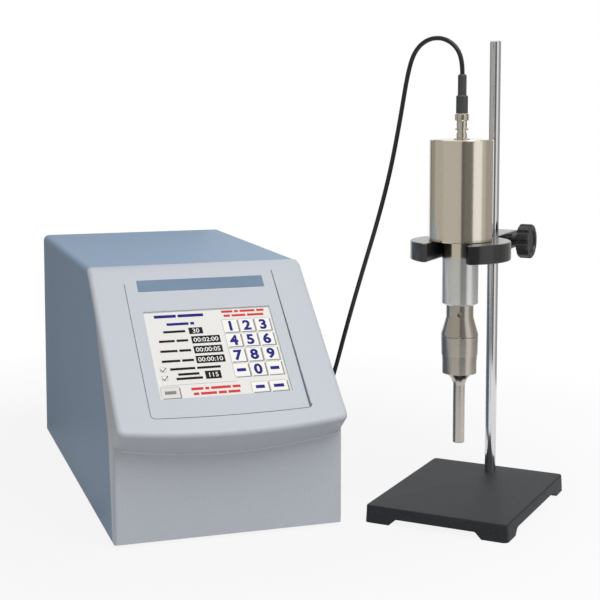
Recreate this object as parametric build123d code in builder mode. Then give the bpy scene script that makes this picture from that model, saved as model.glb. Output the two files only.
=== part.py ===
from build123d import *
import os
from math import atan, cos, degrees, pi, radians, sin, sqrt, tan

# A probe sonicator: a bench generator with a sloped touch screen, a converter with its horn
# that sits in a cradle on a rod stand, and the cable between them.
# The origin is on the bench under the middle of the generator. +X is to the right of someone
# who faces the screen, +Y goes to the generator's back and +Z is up. Sizes are millimetres.

# Generator case
case_width = 208.0
case_depth = 426.0
case_top = 228.0
case_bottom = 3.0
cover_sheet = 1.5
edge_round = 6.0
flange_width = 12.0
panel_sheet = 2.0
pan_sheet = 2.0
pan_wall = 28.0
side_gap = 0.3
vent_width = 40.0
vent_slot = 3.0
vent_count = 9
vent_pitch = 7.0

# Moulded bezel in side view: y is counted from its flat lower face
slope_angle = 40.8
slope_mark_y = 10.0
slope_mark_z = 131.0
slope_reach = 175.0
lip_end = -40.4
lip_middle = -48.6
lip_corner = 7.0
chin_drop = 39.6
chin_depth = 80.0
bezel_wall = 3.0
brow_round = 20.0
lip_round = 4.5
lower_round = 3.0
seam_bottom_y = 9.0
seam_chin_y = 24.0
seam_chin_z = 97.0
seam_brow_y = 86.0
seam_brow_z = 192.0
seam_top_y = 130.0

# Recessed panel in the slope, its window and its label strip, placed up the slope
recess_width = 145.0
recess_top = 139.0
recess_length = 165.0
recess_depth = 3.6
recess_corner = 4.0
recess_bow = 1.6
window_width = 120.5
window_height = 98.0
window_middle = 44.5
window_wall = 2.0
strip_width = 122.0
strip_height = 13.8
strip_middle = 124.0
strip_sheet = 0.5
strip_sunk = 0.3

# Touch screen and the boards
glass_margin = 5.0
glass_thick = 1.8
display_thick = 9.0
display_frame = 3.0
bracket_sheet = 1.2
bracket_flange = 7.0
board_thick = 1.6
standoff_radius = 3.0
control_gap = 7.0
control_width = 100.0
control_height = 74.0
chip_side = 20.0
chip_pitch = 38.0
chip_shift = 1.0
chip_lift = 8.0
header_length = 44.0
header_width = 8.0
header_drop = 24.0
power_gap = 8.0
power_width = 160.0
power_length = 200.0
power_y = 20.0
board_corner = 6.0
sink_width = 62.0
sink_length = 110.0
sink_height = 42.0
sink_x = -42.0
sink_foot = 5.0
fin_count = 9
fin_thick = 2.0
core_width = 60.0
core_height = 50.0
core_depth = 30.0
core_leg = 12.0
core_x = 40.0
core_y = 60.0
coil_width = 30.0
coil_depth = 42.0
coil_corner = 6.0
can_radius = 14.0
can_height = 42.0
can_x = 40.0
can_y = -20.0
can_pitch = 34.0
can_edge = 1.5

# Rear panel and what is on it
fan_x = -38.0
fan_z = 150.0
fan_size = 80.0
fan_depth = 25.0
fan_corner = 5.0
fan_hole = 38.0
fan_pitch = 71.5
fan_screw = 2.0
fan_screw_head = 3.8
fan_screw_depth = 14.0
spider_depth = 4.0
spider_width = 3.0
spider_turn = 20.0
rotor_gap = 2.0
rotor_end_gap = 0.5
hub_radius = 18.0
blade_radius = 36.8
blade_count = 7
blade_chord = 15.0
blade_thick = 1.6
blade_pitch = 38.0
blade_root = 1.0
spindle_radius = 2.0
guard_wire = 1.0
guard_rings = 4
guard_rise = 1.6
eyelet_radius = 4.6
inlet_x = -64.0
inlet_z = 48.0
inlet_width = 31.5
inlet_height = 50.0
inlet_flange = 2.0
inlet_corner = 2.0
inlet_body_width = 27.0
inlet_body_height = 46.0
inlet_body_depth = 24.0
plug_well_width = 24.0
plug_well_height = 16.4
plug_well_depth = 17.0
plug_well_drop = 10.0
plug_well_corner = 4.0
pin_width = 2.0
pin_height = 4.0
pin_pitch = 7.0
pin_lift = 2.5
pin_length = 10.5
drawer_width = 20.0
drawer_height = 9.0
drawer_depth = 18.0
drawer_rise = 14.0
drawer_lip = 1.5
drawer_rim = 1.0
trough_width = 6.0
trough_length = 13.0
trough_floor = 1.5
trough_wall = 1.0
switch_x = -16.0
switch_z = 48.0
switch_width = 22.0
switch_height = 30.0
switch_body_width = 19.0
switch_body_height = 27.0
switch_depth = 18.0
switch_corner = 1.5
switch_pin_wall = 1.0
rocker_width = 13.5
rocker_height = 21.0
rocker_tilt = 7.0
rocker_pivot = 3.0
rocker_pin = 1.5
rocker_pin_gap = 0.2
rocker_end_gap = 0.4
rocker_peak = 1.6
rocker_dip = 0.4
rocker_belly = 4.0
rocker_keel = 3.0
rocker_edge = 0.5
socket_x = 52.0
socket_z = 62.0
screw_shank = 1.5
screw_head = 2.8
screw_rise = 1.6
screw_depth = 6.0
screw_low = 70.0
screw_high = 170.0
screw_apart = 50.0
screw_inset = 4.2
pan_screw_x = 20.0
foot_radius = 9.0
foot_taper = 8.0
foot_inset = 28.0
foot_setback = 37.0
foot_well = 5.0
foot_floor = 2.0

# Stand: its own frame has x along the short edge and y along the long edge
stand_x = 238.0
stand_y = -195.0
stand_turn = -44.7
base_width = 136.0
base_length = 179.0
base_height = 16.0
base_web = 10.0
base_foot = 24.0
base_corner = 5.0
base_edge = 1.5
base_draft = 3.0
rod_radius = 5.5
rod_top = 441.0
rod_inset = 23.0
rod_chamfer = 1.0
thread_radius = 4.0
thread_rise = 1.0
nut_flats = 13.0
nut_height = 4.5
fit_gap = 0.05

# Clamp: a horseshoe that holds the converter, with an arm to the rod
clamp_top = 256.4
clamp_height = 17.0
clamp_reach = 94.0
ring_radius = 46.0
slot_half = 18.5
slot_lead = 5.0
arm_width = 38.0
arm_tail = 18.6
arm_blend = 4.0
clamp_edge = 0.7
screw_radius = 3.0
knob_radius = 16.5
knob_thick = 12.0
knob_edge = 1.5
knob_neck_radius = 6.0
knob_neck = 8.5
knob_flutes = 10
flute_radius = 3.2
knob_dish_radius = 11.0
knob_dish = 1.2
knob_dish_taper = 20.0
knob_socket = 6.0

# Converter, measured up or down from the clamp's top face, where its housing sits
housing_radius = 29.35
housing_height = 89.4
housing_wall = 2.0
housing_floor = 3.0
housing_edge = 0.5
cap_thick = 3.1
cap_lip = 6.0
cap_edge = 0.6
nose_radius = 16.5
nose_drop = 14.7
nose_flange = 25.0
driver_radius = 16.7
driver_drop = 58.7
driver_edge = 1.2
driver_neck = 12.0
driver_flange = 24.0
driver_flange_thick = 4.0
ring_section = 1.3
seal_radius = 21.5
lock_height = 4.4
lock_inner = 20.0
stack_radius = 19.0
stack_start = 24.0
stack_bore = 6.5
crystal_thick = 5.0
crystal_count = 4
electrode_thick = 0.4
electrode_tab = 5.0
mass_edge = 2.0
tail_gap = 2.9
bolt_radius = 5.0
bolt_head_radius = 8.0
bolt_head = 8.0

# Horn, measured down from the clamp's top face
horn_neck_radius = 12.55
horn_neck_end = 70.7
horn_cone_end = 86.7
horn_radius = 17.15
horn_line = 88.2
horn_line_depth = 0.5
horn_barrel_end = 105.8
horn_barrel_radius = 16.65
horn_band_end = 110.4
horn_band_radius = 16.1
horn_lower_radius = 15.85
horn_lower_end = 122.7
horn_flare_radius = 13.5
horn_throat_radius = 8.0
horn_throat = 127.7
shank_radius = 5.45
shank_start = 134.1
shank_end = 182.0
tip_end = 188.3
tip_chamfer = 0.5
spanner_radius = 2.3
spanner_depth = 8.0
spanner_drop = 67.4
spanner_turn = 245.0
stud_radius = 5.5
stud_half = 12.0
tip_stud_radius = 2.5
tip_stud_length = 6.0

# Bayonet connector and its boot, measured along the connector's own axis from its panel
flare_radius = 7.2
flare_height = 1.4
collar_radius = 4.8
collar_end = 6.0
barrel_radius = 4.1
barrel_bore = 3.3
barrel_end = 15.0
socket_tail = 12.0
socket_nut_flats = 14.0
socket_nut_height = 3.0
lug_radius = 0.9
lug_reach = 6.0
lug_at = 9.2
sleeve_start = 10.4
sleeve_end = 17.0
sleeve_radius = 4.75
sleeve_hole = 1.1
grip_end = 23.3
grip_radius = 6.4
grip_edge = 0.6
grip_teeth = 20
tooth_radius = 0.45
turn_gap = 0.1
body_gap = 0.3
plug_radius = 3.2
plug_start = 8.0
ferrule_radius = 3.9
ferrule_end = 36.0
boot_radius = 5.4
boot_wide_end = 40.2
boot_tail_radius = 3.95
boot_end = 59.1
boot_edge = 1.2

# Cable
cable_radius = 2.1
cable_rest = 2.3

# Places worked out from the sizes
front_y = -case_depth / 2
back_y = case_depth / 2
half_width = case_width / 2
inner_half = half_width - cover_sheet
inner_top = case_top - cover_sheet
flange_top = case_bottom + cover_sheet
pan_top = flange_top + pan_sheet
panel_front = back_y - panel_sheet
back_half = inner_half - flange_width - side_gap
foot_x = half_width - foot_inset
foot_y = back_y - foot_setback

slope_mark = Vector(0, front_y + slope_mark_y, slope_mark_z)
slope_up = Vector(0, cos(radians(slope_angle)), sin(radians(slope_angle)))
slope_out = Vector(0, -sin(radians(slope_angle)), cos(radians(slope_angle)))
slope_plane = Plane(origin=slope_mark, x_dir=(1, 0, 0), z_dir=slope_out)
chin_direction = Vector(0, cos(radians(chin_drop)), -sin(radians(chin_drop)))
recess_angle = slope_angle + degrees(atan(recess_depth / recess_length))
recess_out = Vector(0, -sin(radians(recess_angle)), cos(radians(recess_angle)))
recess_plane = Plane(origin=slope_mark + slope_up * recess_top, x_dir=(1, 0, 0), z_dir=recess_out)
window_spot = (0, window_middle - recess_top)
strip_spot = (0, strip_middle - recess_top)
glass_width = window_width + 2 * glass_margin
glass_height = window_height + 2 * glass_margin
display_back = window_wall + glass_thick + display_thick
bracket_back = display_back + bracket_sheet
control_back = bracket_back + control_gap

stand_side = Vector(cos(radians(stand_turn)), sin(radians(stand_turn)), 0)
stand_long = Vector(-stand_side.Y, stand_side.X, 0)
stand_spot = Vector(stand_x, stand_y, 0)
stand_plane = Plane(origin=stand_spot, x_dir=stand_side, z_dir=(0, 0, 1))
rod_y = base_length / 2 - rod_inset
cradle_y = rod_y - clamp_reach
rod_spot = stand_spot + stand_long * rod_y
cradle_spot = stand_spot + stand_long * cradle_y
rod_axis = Axis(rod_spot, (0, 0, 1))
cradle_axis = Axis(cradle_spot, (0, 0, 1))
# Turned pieces are drawn as half sections, with x as the radius and y as the height
rod_section = Plane(origin=rod_spot, x_dir=stand_side, z_dir=-stand_long)
cradle_section = Plane(origin=cradle_spot + Vector(0, 0, clamp_top), x_dir=stand_side, z_dir=-stand_long)
clamp_middle = clamp_top - clamp_height / 2
knob_plane = Plane(origin=rod_spot + Vector(0, 0, clamp_middle), x_dir=stand_long, z_dir=stand_side)
arm_half = arm_width / 2
knob_start = arm_half + knob_neck

cap_top = housing_height + cap_thick
top_link = Plane(origin=cradle_spot + Vector(0, 0, clamp_top + cap_top), x_dir=stand_side, z_dir=(0, 0, 1))
cradle_level = Plane(origin=cradle_section.origin, x_dir=stand_side, z_dir=(0, 0, 1))
rear_link = Plane(origin=(socket_x, back_y, socket_z), x_dir=(1, 0, 0), z_dir=(0, 1, 0))


# A closed outline with straight sides, drawn in the sketch that is open
def outline(*points):
    Polygon(*points, align=None)


# A closed half section of a hollow piece: two radii between two heights
def tube_section(inner, outer, low, high):
    outline((inner, low), (outer, low), (outer, high), (inner, high))


# The seam between cover and bezel, seen from the side: all that lies in front of it
def ahead_of_seam(low, high):
    far = front_y + 2 * lip_middle
    with BuildPart() as region:
        with BuildSketch(Plane.YZ.offset(-half_width)):
            with BuildLine():
                Polyline(
                    (far, low),
                    (front_y + seam_bottom_y, low),
                    (front_y + seam_chin_y, seam_chin_z),
                    (front_y + seam_brow_y, seam_brow_z),
                    (front_y + seam_top_y, high),
                    (far, high),
                    close=True,
                )
            make_face()
        extrude(amount=case_width)
    return region.part


# The bezel's sloped head: a flat face with a bowed lip, pushed back and down to form the chin
def bezel_head(face, start, inset, rounded):
    half = half_width - inset
    low = lip_end + inset - start
    with BuildPart() as head:
        with BuildSketch(face) as front:
            with BuildLine():
                lip = ThreePointArc((-half, low), (0, lip_middle + inset - start), (half, low))
                Polyline(lip @ 1, (half, slope_reach - start), (-half, slope_reach - start), lip @ 0)
            make_face()
            if rounded:
                fillet(front.vertices().group_by(Axis.Y)[0], lip_corner)
        extrude(amount=chin_depth, dir=chin_direction)
        split(bisect_by=Plane.XY.offset(case_top - inset), keep=Keep.BOTTOM)
        if rounded:
            fillet(head.edges().filter_by(Axis.X).group_by(Axis.Z)[-1].sort_by(Axis.Y)[0], brow_round)
            fillet(head.edges().sort_by(Axis.Y)[0], lip_round)
    return head.part


# The upright lower part of the bezel, from the case's bottom edge up into the head
def bezel_base(inset, rounded):
    depth = seam_brow_y - inset
    height = seam_chin_z - case_bottom - inset
    with BuildPart() as base:
        with BuildSketch(Plane.XY.offset(case_bottom + inset)):
            with Locations((0, front_y + inset)):
                Rectangle(case_width - 2 * inset, depth, align=(Align.CENTER, Align.MIN))
        extrude(amount=height)
        if rounded:
            fillet(base.edges().filter_by(Axis.Z).group_by(Axis.Y)[0], lower_round)
    return base.part


# Front bezel, a thin moulding: the sloped head and the lower part, hollow and open behind
with BuildPart() as front_bezel:
    add(bezel_head(slope_plane, 0, 0, True))
    add(bezel_base(0, True))
    add(ahead_of_seam(case_bottom, case_top), mode=Mode.INTERSECT)
    add(bezel_head(recess_plane.offset(-bezel_wall), recess_top, bezel_wall, False), mode=Mode.SUBTRACT)
    add(bezel_base(bezel_wall, False), mode=Mode.SUBTRACT)
    # The recessed panel runs out at the top and is deepest at its bowed lower edge
    with BuildSketch(recess_plane) as recess:
        with BuildLine():
            half = recess_width / 2
            low = -recess_length
            bow = ThreePointArc((-half, low), (0, low - recess_bow), (half, low))
            Polyline(bow @ 1, (half, bezel_wall), (-half, bezel_wall), bow @ 0)
        make_face()
        fillet(recess.vertices().group_by(Axis.Y)[0], recess_corner)
    extrude(amount=brow_round, mode=Mode.SUBTRACT)
    with BuildSketch(recess_plane.offset(-strip_sunk)):
        with Locations(strip_spot):
            Rectangle(strip_width, strip_height)
    extrude(amount=strip_sheet, mode=Mode.SUBTRACT)
    with BuildSketch(recess_plane):
        with Locations(window_spot):
            Rectangle(window_width, window_height)
    extrude(amount=bezel_wall, both=True, mode=Mode.SUBTRACT)
    with BuildSketch(recess_plane.offset(-window_wall)):
        with Locations(window_spot):
            Rectangle(glass_width + 2 * side_gap, glass_height + 2 * side_gap)
    extrude(amount=-display_back, mode=Mode.SUBTRACT)

# Label strip, bare, sunk a little into the recess
with BuildPart() as label_strip:
    with BuildSketch(recess_plane.offset(-strip_sunk)):
        with Locations(strip_spot):
            Rectangle(strip_width - side_gap, strip_height - side_gap)
    extrude(amount=strip_sheet)

# Touch panel behind the window
with BuildPart() as touch_glass:
    with BuildSketch(recess_plane.offset(-window_wall)):
        with Locations(window_spot):
            Rectangle(glass_width, glass_height)
    extrude(amount=-glass_thick)

# Display module behind the glass, with a folded metal frame and a stepped back
with BuildPart() as display_module:
    with BuildSketch(recess_plane.offset(-window_wall - glass_thick)):
        with Locations(window_spot):
            Rectangle(glass_width, glass_height)
    extrude(amount=-display_thick / 2)
    with BuildSketch(recess_plane.offset(-window_wall - glass_thick - display_thick / 2)):
        with Locations(window_spot):
            Rectangle(glass_width - 2 * display_frame, glass_height - 2 * display_frame)
    extrude(amount=-display_thick / 2)

# Display bracket: a folded tray with a flange against the bezel's inner face
with BuildPart() as display_bracket:
    tray_width = glass_width + 2 * side_gap
    tray_height = glass_height + 2 * side_gap
    with BuildSketch(recess_plane.offset(-bezel_wall)):
        with Locations(window_spot):
            Rectangle(tray_width + 2 * bracket_flange, tray_height + 2 * bracket_flange)
    extrude(amount=-bracket_sheet)
    with BuildSketch(recess_plane.offset(-bezel_wall)):
        with Locations(window_spot):
            Rectangle(tray_width + 2 * bracket_sheet, tray_height + 2 * bracket_sheet)
    extrude(amount=bezel_wall - bracket_back)
    with BuildSketch(recess_plane.offset(-bezel_wall)):
        with Locations(window_spot):
            Rectangle(tray_width, tray_height)
    extrude(amount=bezel_wall - display_back, mode=Mode.SUBTRACT)
    with BuildSketch(recess_plane.offset(-display_back)):
        with Locations(window_spot):
            Rectangle(control_width - 4 * board_corner, control_height - 4 * board_corner)
    extrude(amount=-bracket_sheet, mode=Mode.SUBTRACT)

# Control board on four standoffs behind the bracket
control_pitch_x = control_width - 2 * board_corner
control_pitch_y = control_height - 2 * board_corner
with BuildPart() as control_board:
    with BuildSketch(recess_plane.offset(-control_back)):
        with Locations(window_spot):
            Rectangle(control_width, control_height)
    extrude(amount=-board_thick)
    # Two packages and a row connector stand on the board's back
    with BuildSketch(recess_plane.offset(-control_back - board_thick)):
        with Locations(window_spot):
            with Locations((-chip_shift, chip_lift)):
                with GridLocations(chip_pitch, 1, 2, 1):
                    Rectangle(chip_side, chip_side)
            with Locations((0, -header_drop)):
                Rectangle(header_length, header_width)
    extrude(amount=-standoff_radius)

with BuildPart() as control_standoffs:
    with BuildSketch(recess_plane.offset(-bracket_back)):
        with Locations(window_spot):
            with GridLocations(control_pitch_x, control_pitch_y, 2, 2):
                RegularPolygon(standoff_radius, 6)
    extrude(amount=-control_gap)

# Screw places round the rear panel, and along its foot where the pan is
rim_x = inner_half - flange_width / 2
rim_z = inner_top - flange_width / 2
foot_line = pan_top + pan_wall / 2
side_spots = [(x, z) for x in (-rim_x, rim_x) for z in (screw_low, screw_high)]
panel_spots = side_spots + [(-screw_apart, rim_z), (screw_apart, rim_z)]
pan_end = back_half - screw_inset
pan_spots = [(-pan_end, foot_line), (pan_screw_x, foot_line), (pan_end, foot_line)]

# Wrap-round cover: top and sides in one sheet, turned in along the bottom and the back
case_back = Plane(origin=(0, back_y, 0), x_dir=(1, 0, 0), z_dir=(0, -1, 0))


# The case's outline from behind, smaller all round by the inset
def case_outline(inset, low):
    half = half_width - inset
    with Locations((0, low)):
        outer = Rectangle(2 * half, case_top - inset - low, align=(Align.CENTER, Align.MIN))
    fillet(outer.vertices().group_by(Axis.Y)[-1], edge_round - inset)


with BuildPart() as generator_cover:
    with BuildSketch(case_back):
        case_outline(0, case_bottom)
    extrude(amount=case_depth)
    with BuildSketch(case_back):
        case_outline(cover_sheet, flange_top)
    extrude(amount=case_depth, mode=Mode.SUBTRACT)
    with BuildSketch(case_back):
        with Locations((0, case_bottom)):
            Rectangle(2 * (inner_half - flange_width), cover_sheet, align=(Align.CENTER, Align.MIN))
    extrude(amount=case_depth, mode=Mode.SUBTRACT)
    # The frame that the rear panel is screwed to
    with BuildSketch(case_back.offset(panel_sheet)):
        case_outline(cover_sheet, flange_top)
        with Locations((0, flange_top)):
            Rectangle(
                2 * (inner_half - flange_width),
                inner_top - flange_width - flange_top,
                align=(Align.CENTER, Align.MIN),
                mode=Mode.SUBTRACT,
            )
        with Locations(*panel_spots):
            Circle(screw_shank, mode=Mode.SUBTRACT)
    extrude(amount=cover_sheet)
    add(ahead_of_seam(case_bottom, case_top), mode=Mode.SUBTRACT)

# Chassis pan: a tray with side, front and back walls, standing on the cover's bottom flanges
wall_share = (pan_top + pan_wall - case_bottom) / (seam_chin_z - case_bottom)
seam_at_wall = seam_bottom_y + (seam_chin_y - seam_bottom_y) * wall_share
pan_front = front_y + seam_at_wall + side_gap
pan_back = panel_front - cover_sheet - side_gap
with BuildPart() as chassis_pan:
    with BuildSketch(Plane.XY.offset(flange_top)):
        with Locations((0, pan_front)):
            Rectangle(2 * inner_half, pan_back - pan_front, align=(Align.CENTER, Align.MIN))
    extrude(amount=pan_sheet + pan_wall)
    with BuildSketch(Plane.XY.offset(pan_top)):
        with Locations((0, pan_front + pan_sheet)):
            Rectangle(
                2 * (inner_half - pan_sheet),
                pan_back - pan_front,
                align=(Align.CENTER, Align.MIN),
            )
    extrude(amount=pan_wall, mode=Mode.SUBTRACT)
    # The back wall is narrower, so that it passes inside the cover's frame to the panel
    with BuildSketch(Plane.XY.offset(flange_top)):
        with Locations((0, panel_front)):
            Rectangle(2 * back_half, panel_front - pan_back + pan_sheet, align=(Align.CENTER, Align.MAX))
    extrude(amount=pan_sheet)
    with BuildSketch(Plane.XY.offset(flange_top)):
        with Locations((0, panel_front)):
            Rectangle(2 * back_half, pan_sheet, align=(Align.CENTER, Align.MAX))
    extrude(amount=pan_sheet + pan_wall)
    # Holes for the panel screws, the feet's screws and the mains parts
    with BuildSketch(case_back):
        with Locations(*pan_spots):
            Circle(screw_shank)
        with Locations((inlet_x, inlet_z)):
            Rectangle(inlet_width, inlet_height)
        with Locations((switch_x, switch_z)):
            Rectangle(switch_width, switch_height)
    extrude(amount=panel_sheet + pan_sheet, mode=Mode.SUBTRACT)
    with BuildSketch(Plane.XY.offset(flange_top)):
        with GridLocations(2 * foot_x, 2 * foot_y, 2, 2):
            Circle(screw_shank)
    extrude(amount=pan_sheet, mode=Mode.SUBTRACT)

# Rear panel with its cut-outs and a block of vent slots
with BuildPart() as rear_panel:
    with BuildSketch(case_back):
        case_outline(cover_sheet + side_gap, flange_top)
        with Locations(*panel_spots, *pan_spots):
            Circle(screw_shank, mode=Mode.SUBTRACT)
        with Locations((fan_x, fan_z)):
            Circle(fan_hole, mode=Mode.SUBTRACT)
            with GridLocations(fan_pitch, fan_pitch, 2, 2):
                Circle(fan_screw + fit_gap, mode=Mode.SUBTRACT)
        with Locations((inlet_x, inlet_z)):
            Rectangle(inlet_body_width + side_gap, inlet_body_height + side_gap, mode=Mode.SUBTRACT)
        with Locations((switch_x, switch_z)):
            Rectangle(switch_body_width + side_gap, switch_body_height + side_gap, mode=Mode.SUBTRACT)
        with Locations((socket_x, socket_z)):
            Circle(collar_radius + fit_gap, mode=Mode.SUBTRACT)
        with Locations((socket_x, fan_z)):
            with GridLocations(1, vent_pitch, 1, vent_count):
                SlotOverall(vent_width, vent_slot, mode=Mode.SUBTRACT)
    extrude(amount=panel_sheet)


# Pan-head screws whose heads stand on a plane that faces out
def pan_screws(face, spots, shank, head, rise, depth):
    with BuildPart() as screws:
        with BuildSketch(face):
            with Locations(*spots):
                Circle(head)
        extrude(amount=rise)
        fillet(screws.edges().filter_by(GeomType.CIRCLE).group_by(SortBy.LENGTH)[-1], rise / 3)
        with BuildSketch(face):
            with Locations(*spots):
                Circle(shank)
        extrude(amount=-depth)
    return screws


# Plane on the rear panel's outer face: x to the left from behind, y up
panel_face = Plane(origin=(0, back_y, 0), x_dir=(-1, 0, 0), z_dir=(0, 1, 0))
all_spots = [(-x, z) for x, z in panel_spots + pan_spots]
panel_screws = pan_screws(panel_face, all_spots, screw_shank, screw_head, screw_rise, screw_depth)

# Rubber feet under the pan, each with a well for its screw
foot_places = [(x, y) for x in (-foot_x, foot_x) for y in (-foot_y, foot_y)]
with BuildPart() as rubber_feet:
    with BuildSketch(Plane.XY.offset(flange_top)):
        with Locations(*foot_places):
            Circle(foot_radius)
    extrude(amount=-flange_top, taper=foot_taper)
    with BuildSketch(Plane.XY):
        with Locations(*foot_places):
            Circle(foot_well)
    extrude(amount=foot_floor, mode=Mode.SUBTRACT)
    with BuildSketch(Plane.XY):
        with Locations(*foot_places):
            Circle(screw_shank)
    extrude(amount=flange_top, mode=Mode.SUBTRACT)
foot_face = Plane(origin=(0, 0, foot_floor), x_dir=(1, 0, 0), z_dir=(0, 0, -1))
foot_spots = [(x, -y) for x, y in foot_places]
foot_screws = pan_screws(foot_face, foot_spots, screw_shank, screw_head, screw_rise, screw_depth)

# Power board on standoffs that stand on the pan
power_low = pan_top + power_gap
power_high = power_low + board_thick
with BuildPart() as power_standoffs:
    with BuildSketch(Plane.XY.offset(pan_top)):
        with Locations((0, power_y)):
            with GridLocations(power_width - 2 * board_corner, power_length / 2 - board_corner, 2, 3):
                RegularPolygon(standoff_radius, 6)
    extrude(amount=power_gap)

with BuildPart() as power_board:
    with BuildSketch(Plane.XY.offset(power_low)):
        with Locations((0, power_y)):
            Rectangle(power_width, power_length)
    extrude(amount=board_thick)

# Finned heat sink over the power transistors
fin_pitch = (sink_width - fin_thick) / (fin_count - 1)
with BuildPart() as heat_sink:
    with BuildSketch(Plane.XY.offset(power_high)):
        with Locations((sink_x, power_y)):
            Rectangle(sink_width, sink_length)
    extrude(amount=sink_foot)
    with BuildSketch(Plane.XY.offset(power_high + sink_foot)):
        with Locations((sink_x, power_y)):
            with GridLocations(fin_pitch, 1, fin_count, 1):
                Rectangle(fin_thick, sink_length)
    extrude(amount=sink_height - sink_foot)

# Output transformer: a ferrite window core and the coil on its middle leg
core_face = Plane(origin=(core_x, core_y, power_high), x_dir=(1, 0, 0), z_dir=(0, -1, 0))
with BuildPart() as transformer_core:
    with BuildSketch(core_face):
        with Locations((0, core_height / 2)):
            Rectangle(core_width, core_height)
        window_w = (core_width - 3 * core_leg) / 2
        with Locations((0, core_height / 2)):
            with GridLocations(window_w + core_leg, 1, 2, 1):
                Rectangle(window_w, core_height - 2 * core_leg, mode=Mode.SUBTRACT)
    extrude(amount=core_depth / 2, both=True)

with BuildPart() as transformer_coil:
    with BuildSketch(Plane(origin=(core_x, core_y, power_high + core_leg + side_gap), z_dir=(0, 0, 1))):
        RectangleRounded(coil_width, coil_depth, coil_corner)
        Rectangle(core_leg, core_depth, mode=Mode.SUBTRACT)
    extrude(amount=core_height - 2 * core_leg - 2 * side_gap)

# Filter capacitors in a row on the power board
with BuildPart() as filter_capacitors:
    with BuildSketch(Plane.XY.offset(power_high)):
        with Locations((can_x, can_y)):
            with GridLocations(can_pitch, can_pitch, 2, 2):
                Circle(can_radius)
    extrude(amount=can_height)
    fillet(filter_capacitors.edges().group_by(Axis.Z)[-1], can_edge)

# Fan: a square frame with a round duct, and a spider that carries the rotor's spindle
fan_back = Plane(origin=(fan_x, panel_front, fan_z), x_dir=(1, 0, 0), z_dir=(0, -1, 0))
with BuildPart() as fan_frame:
    with BuildSketch(fan_back):
        RectangleRounded(fan_size, fan_size, fan_corner)
        Circle(fan_hole, mode=Mode.SUBTRACT)
        with GridLocations(fan_pitch, fan_pitch, 2, 2):
            Circle(fan_screw, mode=Mode.SUBTRACT)
    extrude(amount=fan_depth)
    with BuildSketch(fan_back.offset(fan_depth - spider_depth)):
        Circle(hub_radius)
        with PolarLocations(0, 4, start_angle=spider_turn):
            with Locations(((fan_hole + fan_corner) / 2, 0)):
                Rectangle(fan_hole, spider_width)
        Circle(spindle_radius + fit_gap, mode=Mode.SUBTRACT)
    extrude(amount=spider_depth)

rotor_depth = fan_depth - spider_depth - rotor_gap - rotor_end_gap
with BuildPart() as fan_rotor:
    with BuildSketch(fan_back.offset(rotor_gap)):
        Circle(hub_radius)
    extrude(amount=rotor_depth)
    with BuildSketch(fan_back.offset(rotor_gap)):
        Circle(spindle_radius)
    extrude(amount=rotor_depth + spider_depth)
    for blade in range(blade_count):
        turn = 2 * pi * blade / blade_count
        pitch = radians(blade_pitch)
        out = Vector(cos(turn), 0, sin(turn))
        across = Vector(-sin(turn) * cos(pitch), sin(pitch), cos(turn) * cos(pitch))
        hub_middle = Vector(fan_x, panel_front - rotor_gap - rotor_depth / 2, fan_z)
        root = hub_middle + out * (hub_radius - blade_root)
        with BuildSketch(Plane(origin=root, x_dir=across, z_dir=out)):
            Rectangle(blade_chord, blade_thick)
        extrude(amount=blade_radius - hub_radius + blade_root)

# Wire guard over the fan's hole: rings on crossed wires that end in four eyelets
guard_plane = Plane(origin=(fan_x, back_y, fan_z), x_dir=(-1, 0, 0), z_dir=(0, 1, 0))
with BuildPart() as fan_guard:
    with BuildSketch(guard_plane.offset(guard_rise - guard_wire)):
        for ring in range(1, guard_rings + 1):
            middle = ring * (fan_hole - guard_wire) / guard_rings
            Circle(middle + guard_wire)
            Circle(middle - guard_wire, mode=Mode.SUBTRACT)
            with PolarLocations(0, 2, start_angle=45, angular_range=180):
                Rectangle(fan_pitch * sqrt(2), 2 * guard_wire)
    extrude(amount=2 * guard_wire)
    with BuildSketch(guard_plane):
        with GridLocations(fan_pitch, fan_pitch, 2, 2):
            Circle(eyelet_radius)
    extrude(amount=guard_rise + guard_wire)
    with BuildSketch(guard_plane):
        with GridLocations(fan_pitch, fan_pitch, 2, 2):
            Circle(fan_screw + fit_gap)
    extrude(amount=2 * guard_rise, mode=Mode.SUBTRACT)
fan_corners = [(x, z) for x in (-fan_pitch / 2, fan_pitch / 2) for z in (-fan_pitch / 2, fan_pitch / 2)]
fan_screws = pan_screws(
    guard_plane.offset(guard_rise + guard_wire),
    fan_corners,
    fan_screw,
    fan_screw_head,
    screw_rise,
    fan_screw_depth,
)

# Mains inlet: a snap-in body with a well for the plug and a slot for the fuse drawer
inlet_face = Plane(origin=(inlet_x, back_y, inlet_z), x_dir=(1, 0, 0), z_dir=(0, -1, 0))
with BuildPart() as mains_inlet:
    with BuildSketch(inlet_face):
        RectangleRounded(inlet_width, inlet_height, inlet_corner)
    extrude(amount=-inlet_flange)
    with BuildSketch(inlet_face):
        Rectangle(inlet_body_width, inlet_body_height)
    extrude(amount=inlet_body_depth)
    with BuildSketch(inlet_face.offset(-inlet_flange)) as well:
        with Locations((0, -plug_well_drop)):
            Rectangle(plug_well_width, plug_well_height)
        chamfer(well.vertices().group_by(Axis.Y)[-1], plug_well_corner)
    extrude(amount=plug_well_depth, mode=Mode.SUBTRACT)
    with BuildSketch(inlet_face.offset(-inlet_flange)):
        with Locations((0, drawer_rise)):
            Rectangle(drawer_width + 2 * side_gap, drawer_height + 2 * side_gap)
    extrude(amount=drawer_depth + side_gap, mode=Mode.SUBTRACT)

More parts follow.
